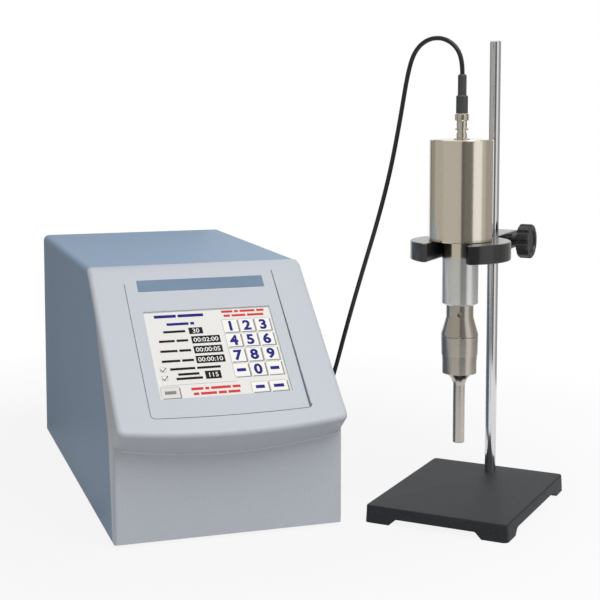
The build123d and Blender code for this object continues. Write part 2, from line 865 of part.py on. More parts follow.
with BuildPart() as inlet_pins:
    with BuildSketch(inlet_face.offset(plug_well_depth - inlet_flange)):
        with Locations((-pin_pitch, -plug_well_drop - pin_lift), (pin_pitch, -plug_well_drop - pin_lift)):
            Rectangle(pin_width, pin_height)
        with Locations((0, -plug_well_drop + pin_lift)):
            Rectangle(pin_width, pin_height)
    extrude(amount=-pin_length)

with BuildPart() as fuse_drawer:
    with BuildSketch(inlet_face.offset(-inlet_flange)):
        with Locations((0, drawer_rise)):
            Rectangle(drawer_width, drawer_height)
    extrude(amount=drawer_depth)
    # A rim to pull it by stands just clear of the inlet's face
    with BuildSketch(inlet_face.offset(-inlet_flange - side_gap)):
        with Locations((0, drawer_rise)):
            RectangleRounded(drawer_width + 2 * drawer_rim, drawer_height + 2 * drawer_rim, drawer_rim)
    extrude(amount=-drawer_lip)
    with BuildSketch(inlet_face.offset(-inlet_flange)):
        with Locations((0, drawer_rise)):
            Rectangle(drawer_width, drawer_height)
    extrude(amount=-side_gap)
    # Two troughs hold the fuses, open upwards
    with BuildSketch(inlet_face.offset(trough_wall)):
        with Locations((0, drawer_rise + trough_floor)):
            with GridLocations(drawer_width / 2, 1, 2, 1):
                Rectangle(trough_width, drawer_height)
    extrude(amount=trough_length, mode=Mode.SUBTRACT)

# Power switch: a snap-in frame and the rocker on its two pins
switch_face = Plane(origin=(switch_x, back_y, switch_z), x_dir=(1, 0, 0), z_dir=(0, -1, 0))
rocker_axis_y = back_y - rocker_pivot
with BuildPart() as switch_frame:
    with BuildSketch(switch_face):
        RectangleRounded(switch_width, switch_height, switch_corner)
    extrude(amount=-inlet_flange)
    with BuildSketch(switch_face):
        Rectangle(switch_body_width, switch_body_height)
    extrude(amount=switch_depth)
    with BuildSketch(switch_face.offset(-inlet_flange)):
        Rectangle(rocker_width + 2 * side_gap, rocker_height + 4 * side_gap)
    extrude(amount=inlet_flange + switch_depth / 2 + rocker_pivot, mode=Mode.SUBTRACT)
    with BuildSketch(Plane.YZ.offset(switch_x)):
        with Locations((rocker_axis_y, switch_z)):
            Circle(rocker_pin + fit_gap)
    extrude(amount=switch_body_width / 2 - switch_pin_wall, both=True, mode=Mode.SUBTRACT)

# The rocker's profile is drawn about its pin and tilted to the off position
rocker_plane = Plane(
    origin=(switch_x, rocker_axis_y, switch_z),
    x_dir=(0, cos(radians(rocker_tilt)), sin(radians(rocker_tilt))),
    z_dir=(1, 0, 0),
)
with BuildPart() as power_rocker:
    with BuildSketch(rocker_plane):
        rise = rocker_pivot + inlet_flange
        half = rocker_height / 2 - rocker_end_gap
        outline(
            (0, -rocker_belly),
            (rise + rocker_peak, -half),
            (rise - rocker_dip, 0),
            (rise + rocker_peak, half),
            (0, rocker_belly),
            (-rocker_keel, 0),
        )
    extrude(amount=rocker_width / 2, both=True)
    fillet(power_rocker.edges().filter_by(Axis.X).group_by(Axis.Y)[-1], rocker_edge)
    with BuildSketch(rocker_plane):
        Circle(rocker_pin)
    extrude(amount=switch_body_width / 2 - switch_pin_wall - rocker_pin_gap, both=True)


# The plane of a connector's half section: x is the radius and y runs out along its axis
def section_of(link):
    return Plane(origin=link.origin, x_dir=link.x_dir, z_dir=link.x_dir.cross(link.z_dir))


# Bayonet socket: flare, collar, barrel with two lugs, and a tail behind its panel
def socket_form(link):
    axis = Axis(link.origin, link.z_dir)
    with BuildPart() as form:
        with BuildSketch(section_of(link)):
            outline(
                (0, -socket_tail),
                (collar_radius, -socket_tail),
                (collar_radius, 0),
                (flare_radius, 0),
                (flare_radius, flare_height / 2),
                (collar_radius, flare_height),
                (collar_radius, collar_end),
                (barrel_radius, collar_end),
                (barrel_radius, barrel_end),
                (barrel_bore, barrel_end),
                (barrel_bore, collar_end),
                (0, collar_end),
            )
        revolve(axis=axis)
        lug_plane = Plane(origin=link.origin + link.z_dir * lug_at, z_dir=link.x_dir)
        for way in (1, -1):
            with BuildSketch(lug_plane.offset(way * (barrel_bore + barrel_radius) / 2)):
                Circle(lug_radius)
            extrude(amount=way * (lug_reach - (barrel_bore + barrel_radius) / 2))
    return form


# Hex nut that holds a socket from inside its panel
def socket_nut_form(link, panel):
    with BuildPart() as form:
        with BuildSketch(link.offset(-panel)):
            RegularPolygon(socket_nut_flats / 2, 6, major_radius=False)
            Circle(collar_radius + fit_gap, mode=Mode.SUBTRACT)
        extrude(amount=-socket_nut_height)
    return form


# Plug body: the pin carrier inside the socket's barrel and the ferrule inside the boot
def plug_form(link):
    with BuildPart() as form:
        with BuildSketch(section_of(link)):
            outline(
                (0, plug_start),
                (plug_radius, plug_start),
                (plug_radius, grip_end + body_gap),
                (ferrule_radius, grip_end + body_gap),
                (ferrule_radius, ferrule_end),
                (0, ferrule_end),
            )
        revolve(axis=Axis(link.origin, link.z_dir))
    return form


# Bayonet nut: a sleeve over the barrel and a ridged grip that turns on the plug
def bayonet_form(link):
    with BuildPart() as form:
        with BuildSketch(section_of(link)):
            outline(
                (barrel_radius + turn_gap, sleeve_start),
                (sleeve_radius, sleeve_start),
                (sleeve_radius, sleeve_end),
                (grip_radius - grip_edge, sleeve_end),
                (grip_radius, sleeve_end + grip_edge),
                (grip_radius, grip_end - grip_edge),
                (grip_radius - grip_edge, grip_end),
                (plug_radius + turn_gap, grip_end),
                (plug_radius + turn_gap, sleeve_end),
                (barrel_radius + turn_gap, sleeve_end),
            )
        revolve(axis=Axis(link.origin, link.z_dir))
        with BuildSketch(link.offset(sleeve_end)):
            with PolarLocations(grip_radius, grip_teeth):
                RegularPolygon(tooth_radius, 4)
        extrude(amount=grip_end - sleeve_end, mode=Mode.SUBTRACT)
        hole_height = (sleeve_start + sleeve_end) / 2
        with BuildSketch(Plane(origin=link.origin + link.z_dir * hole_height, z_dir=link.x_dir)):
            Circle(sleeve_hole)
        extrude(amount=sleeve_radius, both=True, mode=Mode.SUBTRACT)
    return form


# Rubber boot: a wide sleeve over the ferrule and a narrower tail that the cable leaves
def boot_form(link):
    with BuildPart() as form:
        with BuildSketch(section_of(link)):
            outline(
                (0, ferrule_end),
                (ferrule_radius, ferrule_end),
                (ferrule_radius, grip_end + body_gap),
                (boot_radius, grip_end + body_gap),
                (boot_radius, boot_wide_end - boot_edge),
                (boot_radius - boot_edge, boot_wide_end),
                (boot_tail_radius, boot_wide_end),
                (boot_tail_radius, boot_end - boot_edge),
                (boot_tail_radius - boot_edge, boot_end),
                (0, boot_end),
            )
        revolve(axis=Axis(link.origin, link.z_dir))
    return form


output_socket = socket_form(rear_link)
output_socket_nut = socket_nut_form(rear_link, panel_sheet)
rear_plug_body = plug_form(rear_link)
rear_bayonet_nut = bayonet_form(rear_link)
rear_plug_boot = boot_form(rear_link)
converter_socket = socket_form(top_link)
converter_socket_nut = socket_nut_form(top_link, cap_thick)
plug_body = plug_form(top_link)
bayonet_nut = bayonet_form(top_link)
plug_boot = boot_form(top_link)

# Stand base: a cast plate on two long feet, with drafted sides
foot_rise = base_height - base_web
with BuildPart() as stand_base:
    with BuildSketch(stand_plane):
        RectangleRounded(base_width, base_length, base_corner)
    extrude(amount=base_height, taper=base_draft)
    fillet(stand_base.faces().sort_by(Axis.Z)[-1].edges(), base_edge)
    half = base_width / 2 - base_foot
    with BuildSketch(Plane(origin=stand_spot, x_dir=stand_side, z_dir=-stand_long)) as notch:
        outline((-half, 0), (half, 0), (half - foot_rise, foot_rise), (foot_rise - half, foot_rise))
        fillet(notch.vertices().group_by(Axis.Y)[-1], foot_rise / 2)
    extrude(amount=base_length, both=True, mode=Mode.SUBTRACT)
    with BuildSketch(stand_plane.offset(foot_rise)):
        with Locations((0, rod_y)):
            Circle(thread_radius + fit_gap)
    extrude(amount=base_web, mode=Mode.SUBTRACT)

# Support rod: shouldered on the base, with a threaded end through it
with BuildPart() as support_rod:
    with BuildSketch(rod_section):
        outline(
            (0, thread_rise),
            (thread_radius, thread_rise),
            (thread_radius, base_height),
            (rod_radius, base_height),
            (rod_radius, rod_top - rod_chamfer),
            (rod_radius - rod_chamfer, rod_top),
            (0, rod_top),
        )
    revolve(axis=rod_axis)

with BuildPart() as rod_nut:
    with BuildSketch(stand_plane.offset(foot_rise)):
        with Locations((0, rod_y)):
            RegularPolygon(nut_flats / 2, 6, major_radius=False)
            Circle(thread_radius + fit_gap, mode=Mode.SUBTRACT)
    extrude(amount=-nut_height)

# Clamp body: a ring open to the front, with an arm that slides on the rod
with BuildPart() as clamp_body:
    with BuildSketch(stand_plane.offset(clamp_top - clamp_height)) as cradle:
        with Locations((0, cradle_y)):
            Circle(ring_radius)
            Rectangle(arm_width, clamp_reach + arm_tail, align=(Align.CENTER, Align.MIN))
        inner_corners = cradle.vertices().filter_by(lambda v: abs(abs(v.X) - arm_half) < 0.01)
        fillet(inner_corners.group_by(Axis.Y)[0], arm_blend)
        with Locations((0, cradle_y)):
            Circle(slot_half, mode=Mode.SUBTRACT)
            Rectangle(2 * slot_half, ring_radius, align=(Align.CENTER, Align.MAX), mode=Mode.SUBTRACT)
    extrude(amount=clamp_height)
    # The mouth's inner corners are cut back, so that the converter finds its way in
    with BuildSketch(stand_plane.offset(clamp_top - clamp_height)):
        jaw_depth = sqrt(ring_radius ** 2 - slot_half ** 2)
        throat = cradle_y - jaw_depth + slot_lead
        outline(
            (-slot_half, throat),
            (slot_half, throat),
            (slot_half + 2 * slot_lead, throat - 2 * slot_lead),
            (-slot_half - 2 * slot_lead, throat - 2 * slot_lead),
        )
    extrude(amount=clamp_height, mode=Mode.SUBTRACT)
    chamfer(clamp_body.faces().filter_by(Axis.Z).edges(), clamp_edge)
    with BuildSketch(stand_plane.offset(clamp_top - clamp_height)):
        with Locations((0, rod_y)):
            Circle(rod_radius + fit_gap)
    extrude(amount=clamp_height, mode=Mode.SUBTRACT)
    with BuildSketch(knob_plane):
        Circle(screw_radius + fit_gap)
    extrude(amount=arm_width, mode=Mode.SUBTRACT)

# Clamp knob, fluted round its rim and dished on its face, moulded on a screw
with BuildPart() as clamp_knob:
    with BuildSketch(knob_plane.offset(knob_start)):
        Circle(knob_radius)
    extrude(amount=knob_thick)
    fillet(clamp_knob.edges().filter_by(GeomType.CIRCLE), knob_edge)
    with BuildSketch(knob_plane.offset(knob_start)):
        with PolarLocations(knob_radius + flute_radius / 2, knob_flutes):
            Circle(flute_radius)
    extrude(amount=knob_thick, mode=Mode.SUBTRACT)
    with BuildSketch(knob_plane.offset(knob_start + knob_thick)):
        Circle(knob_dish_radius)
    extrude(amount=-knob_dish, taper=knob_dish_taper, mode=Mode.SUBTRACT)
    with BuildSketch(knob_plane.offset(arm_half + side_gap)):
        Circle(knob_neck_radius)
    extrude(amount=knob_neck)
    with BuildSketch(knob_plane.offset(arm_half + side_gap)):
        Circle(screw_radius)
    extrude(amount=knob_neck + knob_socket, mode=Mode.SUBTRACT)

with BuildPart() as clamp_screw:
    with BuildSketch(knob_plane.offset(rod_radius + 2 * fit_gap)):
        Circle(screw_radius)
    extrude(amount=arm_half + side_gap + knob_neck + knob_socket - rod_radius - 2 * fit_gap)

# Converter housing: a turned can with a floor, its end cap, and the nose ring through the floor
housing_bore = housing_radius - housing_wall
with BuildPart() as converter_housing:
    with BuildSketch(cradle_section):
        outline(
            (nose_radius + fit_gap, 0),
            (housing_radius - housing_edge, 0),
            (housing_radius, housing_edge),
            (housing_radius, housing_height),
            (housing_bore, housing_height),
            (housing_bore, housing_floor),
            (nose_radius + fit_gap, housing_floor),
        )
    revolve(axis=cradle_axis)

with BuildPart() as converter_cap:
    with BuildSketch(cradle_section):
        outline(
            (collar_radius + fit_gap, housing_height),
            (housing_bore - housing_wall, housing_height),
            (housing_bore - housing_wall, housing_height - cap_lip),
            (housing_bore - fit_gap, housing_height - cap_lip),
            (housing_bore - fit_gap, housing_height),
            (housing_radius, housing_height),
            (housing_radius, cap_top - cap_edge),
            (housing_radius - cap_edge, cap_top),
            (collar_radius + fit_gap, cap_top),
        )
    revolve(axis=cradle_axis)

flange_high = 2 * housing_floor
with BuildPart() as nose_ring:
    with BuildSketch(cradle_section):
        outline(
            (driver_neck + side_gap, -nose_drop),
            (nose_radius, -nose_drop),
            (nose_radius, housing_floor),
            (nose_flange, housing_floor),
            (nose_flange, flange_high),
            (driver_neck + side_gap, flange_high),
        )
    revolve(axis=cradle_axis)

# Front driver: the aluminium end of the stack, held at its flange between two O-rings
flange_low = flange_high + 2 * ring_section
flange_end = flange_low + driver_flange_thick
with BuildPart() as front_driver:
    with BuildSketch(cradle_section):
        outline(
            (0, -driver_drop),
            (driver_radius - driver_edge, -driver_drop),
            (driver_radius, driver_edge - driver_drop),
            (driver_radius, -nose_drop),
            (driver_neck, -nose_drop),
            (driver_neck, flange_low),
            (driver_flange, flange_low),
            (driver_flange, flange_end),
            (stack_radius, flange_end),
            (stack_radius, stack_start),
            (0, stack_start),
        )
    revolve(axis=cradle_axis)
    with BuildSketch(cradle_section):
        tube_section(0, stud_radius, -driver_drop, stud_half - driver_drop)
        tube_section(0, bolt_radius, stack_start - stud_half, stack_start)
    revolve(axis=cradle_axis, mode=Mode.SUBTRACT)

with BuildPart() as seal_rings:
    with BuildSketch(cradle_section):
        with Locations((seal_radius, flange_high + ring_section), (seal_radius, flange_end + ring_section)):
            Circle(ring_section)
    revolve(axis=cradle_axis)

lock_low = flange_end + 2 * ring_section
with BuildPart() as lock_ring:
    with BuildSketch(cradle_section):
        tube_section(lock_inner, housing_bore - fit_gap, lock_low, lock_low + lock_height)
    revolve(axis=cradle_axis)

# The stack: ceramic rings with thin electrodes between them, under a heavy back mass
layer = crystal_thick + electrode_thick
with BuildPart() as crystal_rings:
    with BuildSketch(cradle_section):
        for ring in range(crystal_count):
            low = stack_start + electrode_thick + ring * layer
            tube_section(stack_bore, stack_radius, low, low + crystal_thick)
    revolve(axis=cradle_axis)

with BuildPart() as electrodes:
    for ring in range(crystal_count):
        with BuildSketch(cradle_level.offset(stack_start + ring * layer)):
            Circle(stack_radius)
            with PolarLocations(stack_radius, 1, start_angle=180 * (ring % 2)):
                Rectangle(2 * electrode_tab, electrode_tab)
            Circle(stack_bore, mode=Mode.SUBTRACT)
        extrude(amount=electrode_thick)

mass_low = stack_start + crystal_count * layer
mass_high = cap_top - socket_tail - tail_gap - bolt_head
with BuildPart() as back_mass:
    with BuildSketch(cradle_section):
        outline(
            (bolt_radius + fit_gap, mass_low),
            (stack_radius, mass_low),
            (stack_radius, mass_high - mass_edge),
            (stack_radius - mass_edge, mass_high),
            (bolt_radius + fit_gap, mass_high),
        )
    revolve(axis=cradle_axis)

with BuildPart() as stack_bolt:
    with BuildSketch(cradle_section):
        tube_section(0, bolt_radius, stack_start - stud_half, mass_high)
        tube_section(0, bolt_head_radius, mass_high, mass_high + bolt_head)
    revolve(axis=cradle_axis)
    with BuildSketch(cradle_level.offset(mass_high + bolt_head)):
        RegularPolygon(bolt_radius, 6)
    extrude(amount=-bolt_head / 2, mode=Mode.SUBTRACT)

# Horn: neck with a spanner hole, cone, barrel with a band, and a flare into the thin shank
with BuildPart() as horn:
    with BuildSketch(cradle_section):
        with BuildLine():
            barrel = Polyline(
                (0, -shank_end),
                (0, -driver_drop),
                (horn_neck_radius, -driver_drop),
                (horn_neck_radius, -horn_neck_end),
                (horn_radius, -horn_cone_end),
                (horn_radius, -horn_line + horn_line_depth),
                (horn_radius - horn_line_depth, -horn_line),
                (horn_radius, -horn_line - horn_line_depth),
                (horn_barrel_radius, -horn_barrel_end),
                (horn_band_radius, -horn_barrel_end),
                (horn_band_radius, -horn_band_end),
                (horn_lower_radius, -horn_band_end),
                (horn_lower_radius, -horn_lower_end),
                (horn_flare_radius, -horn_lower_end),
            )
            flare = ThreePointArc(
                barrel @ 1, (horn_throat_radius, -horn_throat), (shank_radius, -shank_start)
            )
            Polyline(flare @ 1, (shank_radius, -shank_end), (0, -shank_end))
        make_face()
    revolve(axis=cradle_axis)
    with BuildSketch(cradle_section):
        tube_section(0, stud_radius, -driver_drop - stud_half, -driver_drop)
        tube_section(0, tip_stud_radius, -shank_end, tip_stud_length - shank_end)
    revolve(axis=cradle_axis, mode=Mode.SUBTRACT)
    spanner_way = Vector(cos(radians(spanner_turn)), sin(radians(spanner_turn)), 0)
    spanner_spot = cradle_section.origin - Vector(0, 0, spanner_drop) + spanner_way * horn_neck_radius
    with BuildSketch(Plane(origin=spanner_spot + spanner_way, z_dir=spanner_way)):
        Circle(spanner_radius)
    extrude(amount=-spanner_depth, mode=Mode.SUBTRACT)

with BuildPart() as horn_stud:
    with BuildSketch(cradle_section):
        tube_section(0, stud_radius, -driver_drop - stud_half, stud_half - driver_drop)
    revolve(axis=cradle_axis)

with BuildPart() as horn_tip:
    with BuildSketch(cradle_section):
        outline(
            (0, -tip_end),
            (shank_radius - tip_chamfer, -tip_end),
            (shank_radius, tip_chamfer - tip_end),
            (shank_radius, -shank_end),
            (tip_stud_radius, -shank_end),
            (tip_stud_radius, tip_stud_length - shank_end),
            (0, tip_stud_length - shank_end),
        )
    revolve(axis=cradle_axis)

# Cable: from the boot over a small loop, down behind the generator's side, along the bench
# and round the back to the rear socket
cable_start = top_link.origin + top_link.z_dir * boot_end
cable_finish = rear_link.origin + rear_link.z_dir * boot_end
route = [
    (cable_start.X, cable_start.Y, cable_start.Z),
    (cable_start.X, cable_start.Y, 420.0),
    (214.6, -209.7, 433.6),
    (205.8, -199.0, 441.6),
    (195.6, -186.7, 440.2),
    (187.4, -176.7, 429.3),
    (183.0, -171.5, 408.4),
    (178.4, -165.9, 367.0),
    (172.0, -158.2, 318.0),
    (163.4, -147.8, 269.8),
    (152.3, -134.4, 217.6),
    (141.8, -121.6, 165.1),
    (132.1, -109.9, 112.2),
    (124.5, -90.0, 72.0),
    (121.0, -62.0, 38.0),
    (120.5, -26.0, 12.0),
    (123.0, 22.0, cable_rest),
    (129.0, 76.0, cable_rest),
    (138.0, 130.0, cable_rest),
    (148.0, 182.0, cable_rest),
    (156.0, 234.0, cable_rest),
    (158.0, 280.0, cable_rest),
    (151.0, 320.0, cable_rest),
    (133.0, 348.0, cable_rest),
    (106.0, 361.0, cable_rest),
    (82.0, 363.0, 7.5),
    (66.0, 352.0, 23.0),
    (57.0, 334.0, 42.0),
    (53.0, 312.0, 56.0),
    (cable_finish.X, 290.0, cable_finish.Z),
    (cable_finish.X, cable_finish.Y, cable_finish.Z),
]
bends = []
for before, here, after in zip(route, route[1:], route[2:]):
    run_in = Vector(*here) - Vector(*before)
    run_out = Vector(*after) - Vector(*here)
    turn = run_in.get_angle(run_out)
    bends.append(0.45 * min(run_in.length, run_out.length) / tan(radians(turn / 2)))
with BuildPart() as converter_cable:
    with BuildLine() as cable_line:
        FilletPolyline(*route, radius=bends)
    with BuildSketch(Plane(origin=cable_start, z_dir=(0, 0, 1))):
        Circle(cable_radius)
    sweep()
cable_length = sum(edge.length for edge in cable_line.edges())
print("bend radii", [round(bend) for bend in bends])
print("cable length", round(cable_length, 1))
print("volume over section x length", converter_cable.part.volume / (pi * cable_radius**2 * cable_length))

pieces = {
    "generator_cover": generator_cover,
    "front_bezel": front_bezel,
    "label_strip": label_strip,
    "touch_glass": touch_glass,
    "display_module": display_module,
    "display_bracket": display_bracket,
    "control_board": control_board,
    "control_standoffs": control_standoffs,
    "chassis_pan": chassis_pan,
    "rear_panel": rear_panel,
    "panel_screws": panel_screws,
    "rubber_feet": rubber_feet,
    "foot_screws": foot_screws,
    "power_board": power_board,
    "power_standoffs": power_standoffs,
    "heat_sink": heat_sink,
    "transformer_core": transformer_core,
    "transformer_coil": transformer_coil,
    "filter_capacitors": filter_capacitors,
    "fan_frame": fan_frame,
    "fan_rotor": fan_rotor,
    "fan_guard": fan_guard,
    "fan_screws": fan_screws,
    "mains_inlet": mains_inlet,
    "inlet_pins": inlet_pins,
    "fuse_drawer": fuse_drawer,
    "switch_frame": switch_frame,
    "power_rocker": power_rocker,
    "output_socket": output_socket,
    "output_socket_nut": output_socket_nut,
    "rear_plug_body": rear_plug_body,
    "rear_bayonet_nut": rear_bayonet_nut,
    "rear_plug_boot": rear_plug_boot,
    "converter_cable": converter_cable,
    "plug_boot": plug_boot,
    "bayonet_nut": bayonet_nut,
    "plug_body": plug_body,
    "converter_socket": converter_socket,
    "converter_socket_nut": converter_socket_nut,
    "converter_cap": converter_cap,
    "converter_housing": converter_housing,
    "nose_ring": nose_ring,
    "front_driver": front_driver,
    "seal_rings": seal_rings,
    "lock_ring": lock_ring,
    "crystal_rings": crystal_rings,
    "electrodes": electrodes,
    "back_mass": back_mass,
    "stack_bolt": stack_bolt,
    "horn": horn,
    "horn_stud": horn_stud,
    "horn_tip": horn_tip,
    "clamp_body": clamp_body,
    "clamp_knob": clamp_knob,
    "clamp_screw": clamp_screw,
    "stand_base": stand_base,
    "support_rod": support_rod,
    "rod_nut": rod_nut,
}
os.makedirs("parts", exist_ok=True)
for name, piece in pieces.items():
    piece.part.label = name
    export_step(piece.part, f"parts/{name}.step")
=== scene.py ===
import math

import bmesh
import bpy
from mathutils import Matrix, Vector


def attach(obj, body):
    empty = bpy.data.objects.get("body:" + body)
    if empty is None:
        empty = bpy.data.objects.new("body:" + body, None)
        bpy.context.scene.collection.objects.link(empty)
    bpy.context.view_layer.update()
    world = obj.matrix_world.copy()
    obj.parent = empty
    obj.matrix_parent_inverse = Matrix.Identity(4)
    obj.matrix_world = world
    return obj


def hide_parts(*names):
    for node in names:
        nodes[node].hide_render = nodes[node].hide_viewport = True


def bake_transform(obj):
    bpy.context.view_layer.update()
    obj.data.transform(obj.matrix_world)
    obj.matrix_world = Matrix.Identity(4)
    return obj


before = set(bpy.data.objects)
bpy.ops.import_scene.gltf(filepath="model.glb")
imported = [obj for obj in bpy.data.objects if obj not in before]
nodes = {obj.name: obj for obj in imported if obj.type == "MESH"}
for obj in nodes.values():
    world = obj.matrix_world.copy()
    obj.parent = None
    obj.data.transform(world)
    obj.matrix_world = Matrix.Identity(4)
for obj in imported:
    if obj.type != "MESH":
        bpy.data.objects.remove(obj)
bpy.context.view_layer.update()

scene = bpy.context.scene
print("frame loaded with", len(nodes), "pieces")


def paint(red, green, blue):  # screen values of 0 to 255, as the linear colour that shaders use
    return tuple(((c / 255 + 0.055) / 1.055) ** 2.4 for c in (red, green, blue)) + (1.0,)


def dimmed(colour, share):
    return tuple(part * share for part in colour[:3]) + (1.0,)


class Wire:  # a socket in a node tree, so that sums on it read as sums
    def __init__(self, nodeTree, socket):
        self.nodeTree = nodeTree
        self.socket = socket

    def maths(self, operation, other):
        return self.nodeTree.node("ShaderNodeMath", {"operation": operation}, {0: self, 1: other})

    def __add__(self, other):
        return self.maths("ADD", other)

    def __mul__(self, other):
        return self.maths("MULTIPLY", other)


class NodeTree:
    def __init__(self, tree):
        self.tree = tree

    def plug(self, socket, value):  # a wire is linked to the socket, and a plain value is set on it
        if isinstance(value, Wire):
            self.tree.links.new(value.socket, socket)
        else:
            socket.default_value = value

    def node(self, kind, settings, inputs, output=0):
        made = self.tree.nodes.new(kind)
        for setting, value in settings.items():
            setattr(made, setting, value)
        for socket, value in inputs.items():
            self.plug(made.inputs[socket], value)
        return Wire(self, made.outputs[output])

    def seenClearly(self):  # 1 for what the camera sees straight, mirrored or through glass, otherwise 0
        kinds = ("Is Camera Ray", "Is Glossy Ray", "Is Transmission Ray")
        straight, mirrored, through = [self.node("ShaderNodeLightPath", {}, {}, kind) for kind in kinds]
        return self.node("ShaderNodeClamp", {}, {0: straight + mirrored + through})


class Finish(NodeTree):  # one material, whose patterns are fixed to the piece
    def __init__(self, name, colour, roughness, metallic=0.0, **sockets):
        self.material = bpy.data.materials.new(name)
        self.material.use_nodes = True
        super().__init__(self.material.node_tree)
        self.shader = self.tree.nodes["Principled BSDF"]
        self.place = self.node("ShaderNodeTexCoord", {}, {}, "Object")
        self.feed("Base Color", colour)
        self.feed("Roughness", roughness)
        self.feed("Metallic", metallic)
        for socket, value in sockets.items():
            self.feed(socket.replace("_", " "), value)

    def feed(self, socket, value):
        self.plug(self.shader.inputs[socket], value)

    def noise(self, scale, detail=2.0, stretch=(1, 1, 1)):
        spot = self.node("ShaderNodeMapping", {}, {"Vector": self.place, "Scale": stretch})
        return self.node("ShaderNodeTexNoise", {}, {"Vector": spot, "Scale": scale, "Detail": detail})

    def axis(self, letter):
        return self.node("ShaderNodeSeparateXYZ", {}, {0: self.place}, letter)

    def spread(self, mask, low, high):  # stretches low..high of a mask over 0..1
        return self.node("ShaderNodeMapRange", {}, {0: mask, 1: low, 2: high, 3: 0.0, 4: 1.0})

    def tone(self, first, second, mask):  # a colour that goes from the first to the second with a mask
        mixed = self.node("ShaderNodeMix", {"data_type": "RGBA"}, {0: mask, 6: first, 7: second}, 2)
        self.feed("Base Color", mixed)

    def sheen(self, pattern, least, swing):  # a roughness that follows a pattern
        self.feed("Roughness", pattern * swing + least)

    def bump(self, height, distance):
        self.feed("Normal", self.node("ShaderNodeBump", {}, {"Height": height, "Distance": distance}))

    def dress(self, *names):
        for name in names:
            slots = nodes[name].data.materials
            if not len(slots):
                slots.append(self.material)
            for index in range(len(slots)):
                slots[index] = self.material


# painted sheet: a faint orange peel, and a tone that drifts a little
def sheetPaint(name, colour, shade, roughness, drift=9.0, grain=160.0, peel=750.0, depth=0.00002):
    made = Finish(name, colour, roughness, Specular_IOR_Level=0.06)
    made.tone(colour, shade, made.spread(made.noise(drift, 3.0), 0.35, 0.65) * 0.35)
    made.sheen(made.noise(grain), least=roughness - 0.06, swing=0.12)
    made.bump(made.noise(peel, 1.0), depth)
    return made


# moulded plastic: a spark-eroded grain
def moulded(name, colour, roughness, grain=1800.0, depth=0.00003, blotch=30.0, gloss=400.0):
    made = Finish(name, colour, roughness)
    made.tone(dimmed(colour, 0.86), colour, made.spread(made.noise(blotch, 3.0), 0.3, 0.6))
    made.sheen(made.noise(gloss), least=roughness - 0.07, swing=0.15)
    made.bump(made.noise(grain, 1.0), depth)
    return made


# turned metal: fine rings across the axis, and a tone that follows them
def turned(name, colour, roughness, stretch=(0.03, 0.03, 1.0), lines=5200.0, depth=0.0000012, metallic=1.0):
    made = Finish(name, colour, roughness, metallic)
    rings = made.noise(lines, 1.0, stretch)
    made.tone(dimmed(colour, 0.94), colour, made.spread(rings, 0.35, 0.65))
    made.sheen(rings, least=roughness - 0.03, swing=0.06)
    made.bump(rings, depth)
    return made


# a thread drawn as rings along one axis
def threaded(name, colour, pitch, letter="Z", depth=0.0002):
    made = Finish(name, colour, 0.35, 1.0)
    made.sheen(made.noise(300.0), least=0.25, swing=0.2)
    turns = made.axis(letter) * (2 * math.pi / pitch)
    made.bump(made.node("ShaderNodeMath", {"operation": "SINE"}, {0: turns}), depth)
    return made


coverPaint = sheetPaint("coverPaint", paint(163, 185, 210), paint(158, 180, 206), 0.5)
coverPaint.dress("generator_cover", "rear_panel")

bezelMould = Finish("bezelMould", paint(206, 212, 220), 0.42, Specular_IOR_Level=0.35)
speck = bezelMould.noise(1500.0, 2.0)
bezelMould.tone(paint(202, 208, 216), paint(210, 215, 223), bezelMould.spread(speck, 0.35, 0.65))
bezelMould.sheen(bezelMould.noise(220.0), least=0.36, swing=0.14)
bezelMould.bump(speck, 0.00001)
bezelMould.dress("front_bezel")

foil = Finish("stripFoil", paint(126, 147, 172), 0.4, Specular_IOR_Level=0.2)
foil.tone(paint(121, 143, 168), paint(131, 152, 176), foil.spread(foil.noise(24.0), 0.3, 0.7))
foil.sheen(foil.noise(500.0), least=0.34, swing=0.1)
foil.bump(foil.noise(2200.0, 1.0), 0.00001)
foil.dress("label_strip")

blackGlass = Finish("panelGlass", paint(28, 30, 33), 0.08, Coat_Weight=0.4)
blackGlass.sheen(blackGlass.noise(60.0), least=0.05, swing=0.06)
blackGlass.dress("touch_glass")

sheetZinc = Finish("zincSheet", paint(186, 188, 190), 0.42, 0.9)
spangle = sheetZinc.node("ShaderNodeTexVoronoi", {}, {"Vector": sheetZinc.place, "Scale": 260.0})
sheetZinc.sheen(spangle, least=0.3, swing=0.25)
sheetZinc.tone(paint(170, 172, 175), paint(200, 201, 202), spangle)
sheetZinc.dress("display_module", "display_bracket", "chassis_pan")

solderMask = Finish("solderMask", paint(22, 92, 56), 0.35)
boardGrid = {"Vector": solderMask.place, "Scale": 120.0, "Mortar Size": 0.06}
tracks = solderMask.node("ShaderNodeTexBrick", {}, boardGrid, "Fac")
solderMask.tone(paint(20, 84, 52), paint(44, 128, 80), tracks)
solderMask.bump(tracks, 0.00004)
solderMask.dress("control_board", "power_board")

turned("standoffBrass", paint(196, 164, 96), 0.3).dress("control_standoffs", "power_standoffs", "electrodes")
zincScrew = Finish("zincScrew", paint(188, 190, 193), 0.32, 1.0)
zincScrew.sheen(zincScrew.noise(700.0), least=0.22, swing=0.2)
zincScrew.bump(zincScrew.noise(1600.0), 0.00001)
zincScrew.dress("panel_screws", "foot_screws", "fan_screws")
zincScrew.dress("rod_nut", "output_socket_nut", "converter_socket_nut")
threaded("screwThread", paint(150, 152, 156), 0.001).dress("stack_bolt", "horn_stud")
threaded("knobThread", paint(140, 142, 146), 0.001, "X").dress("clamp_screw")

